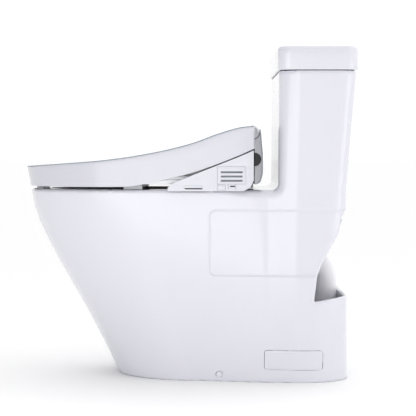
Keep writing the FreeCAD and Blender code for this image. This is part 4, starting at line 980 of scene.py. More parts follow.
@dataclass
class China:
    """Bowl, skirt, deck and tank as the one glazed casting that they are, sizes in millimetres."""

    rim: float = 412.0
    tank_top: float = 663.5
    tank_front: float = 126.0
    wall: float = 12.0
    rear_wall: float = 7.0
    deck: float = 14.0
    sunk: float = 3.2
    hatch_centre: Point2 = (158.5, 48.5)
    hatch_half: Point2 = (61.0, 20.0)
    hatch_corner: float = 5.0
    screw: Point2 = (0.0, 15.0)
    screw_bore: float = 6.6
    flank_openings_end: float = 60.0
    tank_wall: float = 10.0
    tank_floor: float = 424.0
    throat_centre: Point2 = (-110.0, 139.0)
    throat_slope: Point2 = (0.55, 0.83)
    throat_reach: Point2 = (-150.0, -60.0)
    throat_radius: float = 26.0
    basin_floor: float = 150.0
    basin_centre: float = -203.0
    basin_half: Point2 = (125.0, 166.0)
    nose_bulge: float = 164.9
    waist_at: float = 95.0
    flank_run: Point2 = (-60.0, 120.0)
    bay_run: Point2 = (100.0, 170.0)
    rim_round: float = 7.0
    shoulder_round: float = 20.0
    shoulder_run: Point2 = (-10.0, 90.0)
    valley_round: float = 13.0
    foot_round: float = 5.0
    foot_levels: Point2 = (120.0, 300.0)
    step: float = 5.0
    basin_rows: tuple[tuple[float, float, float, float], ...] = (
        (0.0, 0.30, 0.26, 60.0), (0.15, 0.42, 0.38, 46.0), (0.38, 0.64, 0.58, 24.0), (0.69, 0.90, 0.85, 2.0),
        (1.0, 1.0, 1.0, 0.0))
    panel: tuple[Point2, ...] = ((-21, 239), (-17.8, 231.2), (-10, 228), (208, 228), (320, 228), (320, 369),
                                 (-10, 369), (-17.8, 365.8), (-21, 358))
    notch: tuple[Point2, ...] = ((340, 363), (266, 363), (259, 338), (252, 314), (238, 291), (220, 259),
                                 (208, 228), (202, 174), (340, 195))

    def edge_terms(self, z: np.ndarray) -> dict[str, np.ndarray]:
        """The plan's widths and reaches at each height, with the nose's bulge below the rim."""
        t = np.clip(z / self.rim, 0.0, 1.0)
        up = np.clip((z - self.rim) / (self.tank_top - self.rim), 0.0, 1.1)
        terms = {name: floor + to_rim * t + to_top * up for name, (floor, to_rim, to_top) in PLAN.items()}
        terms["front"] = terms["front"] + self.nose_bulge * t ** 3 * (1.0 - t)
        return terms

    def side(self, p: np.ndarray, inward: float = 0.0, rear_inward: float = 0.0) -> np.ndarray:
        """How far points lie outside the plan's outline at their height.

        Args:
            p: The points, in millimetres.
            inward: How far the flanks and nose are moved in.
            rear_inward: How far the rear face is moved in.

        Returns:
            The signed distances.
        """
        x, y, z = np.abs(p[:, 0]), p[:, 1], p[:, 2]
        e = self.edge_terms(z)
        nose = ellipse_distance(x, np.minimum(y + e["shoulder"], 0.0), e["half"] - inward,
                                e["front"] - e["shoulder"] - inward)
        one, two = smooth_step(y, *self.flank_run), smooth_step(y, *self.bay_run)
        along = np.clip((y + e["shoulder"]) / (self.waist_at + e["shoulder"]), 0, 1)
        width = e["half"] + (e["waist"] - e["half"]) * along
        width = width + (e["bay"] - width) * two + (e["flank"] - e["bay"]) * one * two - inward
        rear = e["rear"] - rear_inward
        corner, start = e["corner"], np.minimum(e["flank_at"], rear - 20)
        bend = ellipse_distance(np.maximum(x - corner, 0.0), y - start, width - corner, rear - start)
        plain = round_max(x - width, y - rear, 4.0)
        back = np.where((y > start) & (x > corner), bend, plain)
        return np.where(y < -e["shoulder"], nose, back)

    def basin(self, p: np.ndarray, grow: float = 0.0) -> np.ndarray:
        """How far points lie outside the basin's hollow, grown by a wall."""
        z, floor = p[:, 2], self.basin_floor
        share = np.clip((z - floor + grow) / (self.rim - floor + grow), 0.0, 1.05)
        rows = np.array(self.basin_rows)
        terms = []
        for column in (1, 2, 3):
            place, value = smooth_table(list(zip(rows[:, 0], rows[:, column])))
            terms.append(np.interp(share, place, value))
        wide, long, back = terms
        around = ellipse_distance(p[:, 0], p[:, 1] - self.basin_centre - back,
                                  self.basin_half[0] * wide + grow, self.basin_half[1] * long + grow)
        return round_max(around, floor - grow - z, 22.0)

    def distance(self, p: np.ndarray) -> np.ndarray:
        """Signed distance, in millimetres, to the glazed surface."""
        x, y, z = p[:, 0], p[:, 1], p[:, 2]
        sides = self.side(p)
        depth = -outline_distance(y, z, self.panel)
        sides = sides + self.sunk * smooth_step(depth, -0.9, 2.0)
        profile = round_min(z - self.rim, self.tank_front - y, self.valley_round)
        soft = self.rim_round + (self.shoulder_round - self.rim_round) * smooth_step(y, *self.shoulder_run)
        above_foot = smooth_step(z, *self.foot_levels)
        soft = soft * above_foot + self.foot_round * (1.0 - above_foot)
        body = round_max(sides, profile, soft)
        body = round_max(body, z - self.tank_top, 3.0)
        body = round_max(body, -z, 2.5)
        inner = np.maximum(self.side(p, self.wall, self.rear_wall), z - self.rim + self.deck)
        hollow = round_max(inner, -self.basin(p, 10.0), 4.0)
        room = np.maximum(self.tank_front + self.tank_wall - y, self.tank_floor - z)
        tank = round_max(self.side(p, self.tank_wall, self.tank_wall), room, 12.0)
        notch = outline_distance(y, z, self.notch)
        body = round_max(body, -hollow, 2.0)
        body = round_max(body, -self.basin(p), 9.0)
        body = round_max(body, -tank, 3.0)
        body = round_max(body, -notch, 5.0)
        (centre_y, centre_z), (along, up) = self.throat_centre, self.throat_slope
        throat = np.hypot(x, (y - centre_y) * along + (z - centre_z) * up) - self.throat_radius
        start, end = self.throat_reach
        body = round_max(body, -np.maximum(throat, np.maximum(start - y, y - end)), 3.0)
        middle = self.flank_openings_end - np.abs(x)
        body = np.maximum(body, -np.maximum(self.hatch(y, z), middle))
        return np.maximum(body, -np.maximum(self.from_screw(y, z) - self.screw_bore, middle))

    def from_screw(self, y: np.ndarray, z: np.ndarray) -> np.ndarray:
        """How far points lie from the side screw's axis."""
        return np.hypot(y - self.screw[0], z - self.screw[1])

    def hatch(self, y: np.ndarray, z: np.ndarray) -> np.ndarray:
        """How far points lie outside the hatch's round-cornered window."""
        along = np.abs(y - self.hatch_centre[0]) - self.hatch_half[0] + self.hatch_corner
        up = np.abs(z - self.hatch_centre[1]) - self.hatch_half[1] + self.hatch_corner
        outside = np.hypot(np.maximum(along, 0.0), np.maximum(up, 0.0))
        return outside + np.minimum(np.maximum(along, up), 0.0) - self.hatch_corner

    def near_detail(self, p: np.ndarray) -> np.ndarray:
        """Which points lie close to the panel's outline, the hatch or a screw."""
        y, z = p[:, 1], p[:, 2]
        flank = (np.abs(p[:, 0]) > 140.0) & (self.side(p) > -7.0)
        panel = np.abs(outline_distance(y, z, self.panel)) < 7.0
        notch = np.abs(outline_distance(y, z, self.notch)) < 7.0
        hatch = np.abs(self.hatch(y, z)) < 6.0
        screw = self.from_screw(y, z) < 12.0
        return flank & (panel | notch | hatch | screw)

    def build(self) -> bpy.types.Object:
        """Mesh the surface, finer round its details.

        Returns:
            The casting.
        """
        start = np.array([-220.0, -436.0, -8.0])
        counts = [int(round(span / self.step)) + 1 for span in (440.0, 740.0, 684.0)]
        axes = [start[i] + self.step * np.arange(counts[i]) for i in range(3)]
        values = np.empty(counts, np.float32)
        y, z = (grid.ravel() for grid in np.meshgrid(axes[1], axes[2], indexing="ij"))
        for i, x in enumerate(axes[0]):
            values[i] = self.distance(np.column_stack([np.full(y.shape, x), y, z])).reshape(counts[1:])
        points, faces = surface_net(values, start, self.step)
        points = settle(points, self.distance)
        obj = make_object("glazed_casting", points, faces)
        work = bmesh.new()
        work.from_mesh(obj.data)
        centres = np.array([edge.verts[0].co + edge.verts[1].co for edge in work.edges]) * 0.5 / MM
        edges = [edge for edge, pick in zip(work.edges, self.near_detail(centres)) if pick]
        bmesh.ops.subdivide_edges(work, edges=edges, cuts=1, use_grid_fill=True)
        work.to_mesh(obj.data)
        work.free()
        flat = np.empty(len(obj.data.vertices) * 3)
        obj.data.vertices.foreach_get("co", flat)
        settled = settle(flat.reshape(-1, 3) / MM, self.distance, 2)
        obj.data.vertices.foreach_set("co", (settled * MM).ravel())
        work = bmesh.new()
        work.from_mesh(obj.data)
        bmesh.ops.triangulate(work, faces=[face for face in work.faces if len(face.verts) > 4])
        work.to_mesh(obj.data)
        work.free()
        tidy_mesh(obj, crease=50.0, outward=False)
        return obj


# ------------------------------------------------------------------ tank lid and hatches

@dataclass
class TankLid:
    """The lift-off lid of the tank: a thick soft-edged slab, hollow below, sizes in millimetres."""

    half: float = 211.0
    front: float = 123.0
    rear: float = 292.0
    corner: float = 26.0
    low: float = 665.0
    high: float = 716.0
    wall: float = 13.0
    soft: float = 9.0
    crown: float = 0.8

    def loop(self, inward: float, level: float) -> np.ndarray:
        """One level loop, moved in from the lid's outline."""
        room = 0.9 * ((self.rear - self.front) / 2 - inward)
        return rounded_rectangle(self.half - inward, self.front + inward, self.rear - inward,
                                 max(self.corner - inward, min(4.0, room)), level)

    def build(self) -> bpy.types.Object:
        """Loft the lid from its hollow round to its crown.

        Returns:
            The piece.
        """
        ceiling = self.high - self.wall
        loops = [self.loop(self.wall + 30.0, ceiling), self.loop(self.wall + 5.0, ceiling),
                 self.loop(self.wall, ceiling - 5.0), self.loop(self.wall, self.low + 2.0),
                 self.loop(self.wall - 2.0, self.low)]
        loops += [self.loop(1.6 * (1 - math.sin(a)), self.low + 1.6 * (1 - math.cos(a)))
                  for a in np.linspace(0.0, math.pi / 2, 4)]
        loops += [self.loop(0.0, self.high - self.soft - 14.0)]
        edge = self.high - self.crown
        loops += [self.loop(self.soft * (1 - math.cos(a)), edge - self.soft * (1 - math.sin(a)))
                  for a in np.linspace(0.0, math.pi / 2, 8)]
        loops += [self.loop(inward, self.high - self.crown * (1 - inward / 84.0) ** 2)
                  for inward in (18.0, 30.0, 46.0, 64.0, 83.0)]
        return loft("tank_lid_slab", loops)


@dataclass
class HatchCovers:
    """The clip-in covers low on each flank, which follow the skirt, sizes in millimetres."""

    front: float = 97.2
    bottom: float = 28.2
    wide: float = 122.6
    tall: float = 40.6
    corner: float = 5.3
    proud: float = 1.8
    depth: float = 9.0
    columns: int = 24
    rows: int = 9

    def spread(self, span: float, count: int) -> np.ndarray:
        """Places across the plate, close together in its soft edges and even between them."""
        edge = np.array([0.0, 0.0, 1.0, 2.4])
        return np.concatenate([edge, np.linspace(5.0, span - 5.0, count), span - edge[::-1]])

    def build(self, china: China, side: int) -> bpy.types.Object:
        """Press a soft-edged plate onto the skirt's surface.

        Args:
            china: The casting that it follows.
            side: 1 for the right flank, -1 for the left.

        Returns:
            The piece.
        """
        drop = [self.depth, 0.8, 0.4, 0.1]
        sink_y = np.concatenate([drop, np.zeros(self.columns), drop[::-1]])
        sink_z = np.concatenate([drop, np.zeros(self.rows), drop[::-1]])
        y, z = np.meshgrid(self.front + self.spread(self.wide, self.columns),
                           self.bottom + self.spread(self.tall, self.rows), indexing="ij")
        middle_y = np.clip(y, self.front + self.corner, self.front + self.wide - self.corner)
        middle_z = np.clip(z, self.bottom + self.corner, self.bottom + self.tall - self.corner)
        across, up = y - middle_y, z - middle_z
        pull = np.maximum(np.abs(across), np.abs(up)) / np.maximum(np.hypot(across, up), 1e-9)
        y, z = middle_y + across * pull, middle_z + up * pull
        flat = np.column_stack([np.zeros(y.size), y.ravel(), z.ravel()])
        reach = np.full(y.size, 180.0)
        for _ in range(12):
            flat[:, 0] = reach
            reach = reach - china.side(flat)
        sink = np.maximum(sink_y[:, None], sink_z[None, :]).ravel()
        outer = np.column_stack([side * (reach + self.proud - sink), y.ravel(), z.ravel()])
        inner = np.column_stack([side * (reach - self.depth), y.ravel(), z.ravel()])
        wide, tall = y.shape
        faces = [(i * tall + j, (i + 1) * tall + j, (i + 1) * tall + j + 1, i * tall + j + 1)
                 for i in range(wide - 1) for j in range(tall - 1)]
        count = wide * tall
        back = [tuple(count + k for k in reversed(face)) for face in faces]
        rim = ([i * tall for i in range(wide)] + [(wide - 1) * tall + j for j in range(1, tall)]
               + [i * tall + tall - 1 for i in range(wide - 2, -1, -1)] + [j for j in range(tall - 2, 0, -1)])
        sides = bridge(rim, [count + k for k in rim])
        obj = make_object(f"hatch_cover_{'right' if side > 0 else 'left'}", np.concatenate([outer, inner]),
                          faces + back + sides)
        tidy_mesh(obj)
        return obj


# ------------------------------------------------------------------ lid and seat

@dataclass
class Lid:
    """The closed lid: a thin leaning shell whose rear edge wraps round the hinge, in millimetres."""

    half: float = 190.0
    front: float = 430.0
    shoulder: float = 185.0
    lean: float = 8.0
    wall: float = 3.0
    soft: float = 6.0
    hinge_y: float = 70.5
    hinge_z: float = 534.5
    barrel: float = 14.0
    rear: float = 73.9
    low: float = 418.0
    edge: float = 462.0
    # Where the dark line painted along the top edge as a reflection sits; below, the dark crease lines painted
    # as shade.
    reflection_in: float = 1.5
    reflection_down: float = 1.7
    reflection_back: float = 1.2
    reflection_radius: float = 0.9
    crease_in: float = 2.2
    crease_levels: Point2 = (503.0, 539.0)
    crease_radius: float = 0.22
    steps: int = 96

    def top_line(self) -> tuple[np.ndarray, np.ndarray]:
        """The top's height from the nose to the hinge line."""
        shares = ((0, 0), (0.15, 0.06), (0.33, 0.14), (0.46, 0.23), (0.6, 0.37), (0.74, 0.57), (0.86, 0.82),
                  (0.95, 0.965), (1, 1))
        rise, run = self.hinge_z + self.barrel - self.edge, self.hinge_y + self.front
        return smooth_table([(-self.front + run * a, self.edge + rise * b) for a, b in shares])

    def low_line(self) -> tuple[np.ndarray, np.ndarray]:
        """The lower edge's height from the nose to the rear."""
        back, low = self.rear, self.low
        return smooth_table([(-self.front, low), (back - 283, low + 1), (back - 220, low + 9),
                             (back - 182, low + 18), (back - 138, low + 29), (back - 87, low + 46),
                             (back - 31, low + 68), (back, low + 82)])

    def half_at(self, y: float, inward: float) -> float:
        """Half the plan's width at a place along it."""
        if y >= -self.shoulder:
            return self.half - inward
        share = min(max((-self.shoulder - y) / (self.front - inward - self.shoulder), 0.0), 1.0)
        return (self.half - inward) * math.sqrt(1.0 - share * share)

    def section(self, y: float, inward: float, arc: float | None) -> np.ndarray:
        """One row of points over the lid, from the right lower edge to the left one.

        Args:
            y: The row's place along the lid.
            inward: 0 for the outer face, the wall for the inner one.
            arc: The angle round the hinge, past the top's end.

        Returns:
            The points.
        """
        wide = self.half_at(y, inward)
        shares = (1.0, 0.997, 0.990, 0.978, 0.962, 0.94, 0.88, 0.78, 0.62, 0.42, 0.21, 0.0)
        xs = np.array([wide * s for s in shares])
        if arc is not None:
            radius = self.barrel - inward
            turn = np.array([math.sin(arc), math.cos(arc)])
            inside = np.array([self.hinge_y, self.hinge_z]) + turn * (self.barrel - self.wall)
            surface = np.array([self.hinge_y, self.hinge_z]) + turn * radius
            wall_rows = [inside + (surface - inside) * s for s in (0.0, 0.3, 0.6, 1.0)]
            right = [(wide, *spot) for spot in wall_rows] + [(x, *surface) for x in xs[1:]]
        else:
            low = float(np.interp(y, *self.low_line()))
            high = float(np.interp(y, *self.top_line())) - inward
            outline = -ellipse_distance(xs, np.full(xs.shape, min(y + self.shoulder, 0.0)), self.half - inward,
                                        self.front - inward - self.shoulder)
            depth = np.maximum(outline if y < -self.shoulder else (self.half - inward) - xs, 0.0)
            soft = self.soft - inward
            round_drop = soft - np.sqrt(np.maximum(soft ** 2 - (soft - depth) ** 2, 0.0))
            drop = np.where(depth < soft, round_drop, 0.0)
            heights = high - drop
            right = []
            for s in (0.0, 0.35, 0.7, 1.0):
                z = low + (heights[0] - low) * s
                lean = self.lean * 0.6 * max((self.edge - z) / (self.edge - self.low), 0.0)
                right.append((max(wide - lean * wide / self.half, 0.0), y, z))
            right += [(x, y, z) for x, z in zip(xs[1:], heights[1:])]
            narrow = [max((self.edge - z) / (self.edge - self.low), 0.0) for _, _, z in right]
            nose = min(max((-self.shoulder - y) / (self.front - self.shoulder), 0), 1)
            right = [(x, y + self.lean * n * nose, z) for (x, _, z), n in zip(right, narrow)]
        left = [(-x, yy, z) for x, yy, z in reversed(right[:-1])]
        return np.array(right + left)

    def rows(self, inward: float) -> list[np.ndarray]:
        """Every row of one face, from the nose to the end of the hinge wrap."""
        nose = self.front - inward - self.shoulder
        places = [-self.shoulder - nose * math.cos(a) for a in np.linspace(0.0, math.pi / 2, self.steps // 2)]
        places += list(np.linspace(-self.shoulder, self.hinge_y, self.steps // 2)[1:])
        rows = [self.section(y, inward, None) for y in places]
        first_turn = math.asin((self.rear - self.hinge_y) / self.barrel)
        end = self.section(self.hinge_y, inward, first_turn)
        low = float(np.interp(self.rear, *self.low_line()))
        for at, share in ((0, 0.0), (1, 0.35), (2, 0.7)):
            z = low + (end[3][2] - low) * share
            end[at][1:] = (self.rear, z)
            end[len(end) - 1 - at][1:] = (self.rear, z)
        rows.append(end)
        rows += [self.section(self.hinge_y, inward, a) for a in np.linspace(first_turn + 0.06, math.pi / 2, 9)]
        return rows

    def build(self) -> bpy.types.Object:
        """Join the outer and the inner face round the lid's whole edge.

        Returns:
            The piece.
        """
        outer, inner = self.rows(0.0), self.rows(self.wall)
        wide, count = len(outer[0]), len(outer)
        faces = []
        for base, flip in ((0, False), (count * wide, True)):
            for i in range(count - 1):
                for j in range(wide - 1):
                    k = base + i * wide + j
                    face = (k, k + 1, k + wide + 1, k + wide)
                    faces.append(tuple(reversed(face)) if flip else face)
        rim = [i * wide for i in range(count)] + [(count - 1) * wide + j for j in range(1, wide)]
        rim += [i * wide + wide - 1 for i in range(count - 2, -1, -1)]
        shift = count * wide
        faces += bridge(rim, [k + shift for k in rim], closed=False)
        faces.append((0, shift, shift + wide - 1, wide - 1))
        obj = make_object("lid_shell_moulding", np.concatenate(outer + inner), faces)
        tidy_mesh(obj, crease=38.0)
        return obj

    def painted_edge_lines(self) -> bpy.types.Object:
        """Dark lines painted on the lid: along the top of both walls and round the nose a painted reflection,
        and down each side near the rear painted shade in a crease.

        Returns:
            The piece.
        """
        path = []
        places = [-self.shoulder - (self.front - self.shoulder) * math.cos(a)
                  for a in np.linspace(0.0, math.pi / 2, 48)]
        places += list(np.linspace(-self.shoulder, self.hinge_y - 4.0, 40)[1:])
        for y in places:
            high = float(np.interp(y, *self.top_line()))
            back = self.reflection_back if y < -self.shoulder else 0.0
            path.append((self.half_at(y, 0.0) - self.reflection_in, y + back, high - self.reflection_down))
        reach = self.barrel - 1.0
        path += [(self.half - self.reflection_in + 0.1, self.hinge_y + reach * math.sin(a),
                  self.hinge_z + reach * math.cos(a)) for a in np.linspace(-0.05, 1.6, 14)]
        right = np.array(path)
        whole = np.concatenate([right[::-1], (right * (-1, 1, 1))[1:]])
        seam = tube("edge", whole, self.reflection_radius, 8)
        creases = [tube("crease", np.array([(side * (self.half + 0.02), self.rear - self.crease_in, z)
                                            for z in np.linspace(*self.crease_levels, 8)]),
                        self.crease_radius, 6) for side in (1, -1)]
        return joined("lid_painted_edge_lines", [seam, *creases])

    def lugs(self) -> bpy.types.Object:
        """The two hinge lugs under the lid's rear corners.

        Returns:
            The piece.
        """
        start, width, pin, outer = 170.0, 8.0, 4.0, 8.0
        pieces = []
        for side in (1, -1):
            loops = []
            for x, radii in ((start, (pin, outer)), (start + width, (outer, pin))):
                for radius in radii:
                    loops.append(np.array([(side * x, self.hinge_y + radius * math.cos(a),
                                            self.hinge_z + radius * math.sin(a))
                                           for a in np.linspace(0, 2 * math.pi, 32, endpoint=False)]))
            pieces.append(ring_loft("lug", loops))
            web = [(self.hinge_y - 8.0, self.hinge_z + 1.0), (self.hinge_y - 0.5, self.hinge_z + 6.0),
                   (self.hinge_y - 0.5, self.hinge_z + 8.6), (self.hinge_y - 8.0, self.hinge_z + 8.0)]
            ends = sorted((side * (start + 0.3), side * (start + width - 0.3)))
            pieces.append(soft_bar("web", web, ends[0], ends[1], 0.4))
        return joined("lid_hinge_lugs", pieces)

    def cheeks(self) -> bpy.types.Object:
        """The round ends of the hinge wrap, which close it to the sides.

        Returns:
            The piece.
        """
        turn = math.asin((self.rear - self.hinge_y) / self.barrel)
        outline = [(self.hinge_y + self.barrel * math.sin(a), self.hinge_z + self.barrel * math.cos(a))
                   for a in np.linspace(math.pi - turn, turn, 24)]
        ends = [sorted((side * (self.half - 4.0), side * (self.half - 0.05))) for side in (1, -1)]
        return joined("lid_hinge_cheeks", [soft_bar("cheek", outline, low, high, 0.5) for low, high in ends])


@dataclass
class ScrewCaps:
    """The white snap caps over the side screws, sizes in millimetres."""

    radius: float = 6.4
    proud: float = 0.9
    depth: float = 3.5

    def build(self, china: China) -> bpy.types.Object:
        """One shallow domed cap on each flank.

        Args:
            china: The casting that they sit in.

        Returns:
            The pair.
        """
        inside, (at, level) = 150.0, china.screw
        flank = inside - float(china.side(np.array([[inside, at, level]]))[0])
        rings = ((0.02, -self.depth), (1.0, -self.depth), (1.0, 0.0), (0.95, 0.35), (0.8, 0.65), (0.5, 0.85),
                 (0.02, 1.0))
        caps = []
        for side in (1, -1):
            loops = []
            for share, out in rings:
                x, radius = side * (flank + out * (self.proud if out > 0 else 1.0)), self.radius * share
                loops.append(np.array([(x, at + radius * math.cos(a), level + radius * math.sin(a))
                                       for a in np.linspace(0, 2 * math.pi, 40, endpoint=False)]))
            caps.append(loft("screw_cap", loops))
        return joined("side_screw_caps", caps)


@dataclass
class SeatRing:
    """The heated seat: a crowned upper and a flat lower moulding that meet in a fine seam."""

    half: float = 179.0
    front: float = -416.0
    shoulder: float = -190.0
    rear: float = -52.0
    hole_half: float = 105.0
    hole_reach: float = 137.0
    hole_centre: float = -212.0
    bottom: float = 424.0
    nozzle_tip: Point2 = (-34.0, 436.0)
    nozzle_tilt: float = 38.0
    nozzle_room: float = 10.5
    split: float = 434.0
    top: float = 446.0
    seam: float = 0.25
    hinge: Point2 = (70.5, 534.5)
    pin: float = 4.0
    arm_start: float = 150.2
    arm_width: float = 15.6
    arm_shape: tuple[Point2, ...] = (
        (-84, 436), (-60, 435), (-34, 446), (-2, 466), (30, 487.5), (50, 510), (63, 529), (66, 527.5),
        (71, 526.6), (76.5, 529.3), (78.4, 534.5), (76.5, 539.9), (70.5, 542.4), (64.5, 539.8), (44.5, 526.4),
        (20, 503), (-6, 482), (-32, 468), (-50, 458), (-62, 449), (-84, 444.5))

    def outline(self) -> np.ndarray:
        """The outer edge, as (x, y) points."""
        return nosed_outline(self.half, self.front, self.shoulder, self.rear, 20.0)

    def hole(self, outline: np.ndarray) -> np.ndarray:
        """The hole's edge, one (x, y) point facing each point of the outer edge."""
        x, y = outline[:, 0], outline[:, 1]
        angle = np.arctan2((y - self.hole_centre) / self.hole_reach, x / self.hole_half)
        along = self.hole_centre + self.hole_reach * np.sin(angle)
        return np.column_stack([self.hole_half * np.cos(angle), along])

    def ring(self, name: str, section: Sequence[Point2]) -> bpy.types.Object:
        """Carry a section round between the hole and the outer edge.

        Args:
            name: The piece's name.
            section: Points of (share of the way from the hole to the edge, height in millimetres).

        Returns:
            The piece.
        """
        outer = self.outline()
        inner = self.hole(outer)
        loops = [np.column_stack([inner + (outer - inner) * share, np.full(len(outer), z)])
                 for share, z in section]
        return ring_loft(name, loops, crease=50.0)

    def build_top(self) -> bpy.types.Object:
        """The upper moulding with its contoured sitting face and its arms.

        Returns:
            The piece.
        """
        low, top = self.split + self.seam, self.top
        section = [(0.004, low), (0.0, low + 1.5), (0.0, low + 5.0), (0.012, low + 7.2), (0.04, low + 8.6),
                   (0.10, low + 9.4), (0.2, top - 1.6), (0.34, top - 0.8), (0.5, top - 0.15), (0.66, top),
                   (0.8, top - 0.1), (0.9, top - 0.7), (0.955, top - 2.0), (0.985, top - 4.0), (1.0, top - 6.6),
                   (1.0, low + 1.5), (0.996, low), (0.9, low + 0.2), (0.5, low + 3.0), (0.1, low + 0.2)]
        arms = [self.arm(side) for side in (1, -1)]
        return joined("seat_top_moulding", [self.ring("seat_upper", section)] + arms)

    def build_bottom(self) -> bpy.types.Object:
        """The lower moulding.

        Returns:
            The piece.
        """
        low, high = self.bottom, self.split - self.seam
        section = [(0.004, high), (0.0, high - 1.5), (0.0, low + 2.5), (0.01, low + 0.8), (0.03, low),
                   (0.97, low), (0.99, low + 0.8), (1.0, low + 2.5), (1.0, high - 1.5), (0.996, high),
                   (0.9, high - 0.2), (0.5, high - 1.2), (0.1, high - 0.2)]
        ring = self.ring("seat_bottom_moulding", section)
        turn = math.radians(self.nozzle_tilt)
        y, z = self.nozzle_tip
        ends = [np.array([0.0, y + behind * math.cos(turn), z + behind * math.sin(turn)])
                for behind in (-80.0, 30.0)]
        return carved(ring, tube("nozzle_path", np.array(ends), self.nozzle_room, 48))

    def arm(self, side: int) -> bpy.types.Object:
        """The arm from the ring up to its hinge knuckle on one side.

        Args:
            side: 1 for the right, -1 for the left.

        Returns:
            The arm.
        """
        start, (y, z) = self.arm_start, self.hinge
        low, high = sorted((side * start, side * (start + self.arm_width)))
        body = soft_bar("seat_arm", self.arm_shape, low, high, 2.0)
        bore = [np.array([(side * x, y + self.pin * math.cos(a), z + self.pin * math.sin(a))
                          for a in np.linspace(0, 2 * math.pi, 24, endpoint=False)])
                for x in (start - 0.02, start - 0.01)]
        return joined("seat_arm", [body, loft("bore", bore)])


# ------------------------------------------------------------------ seat unit

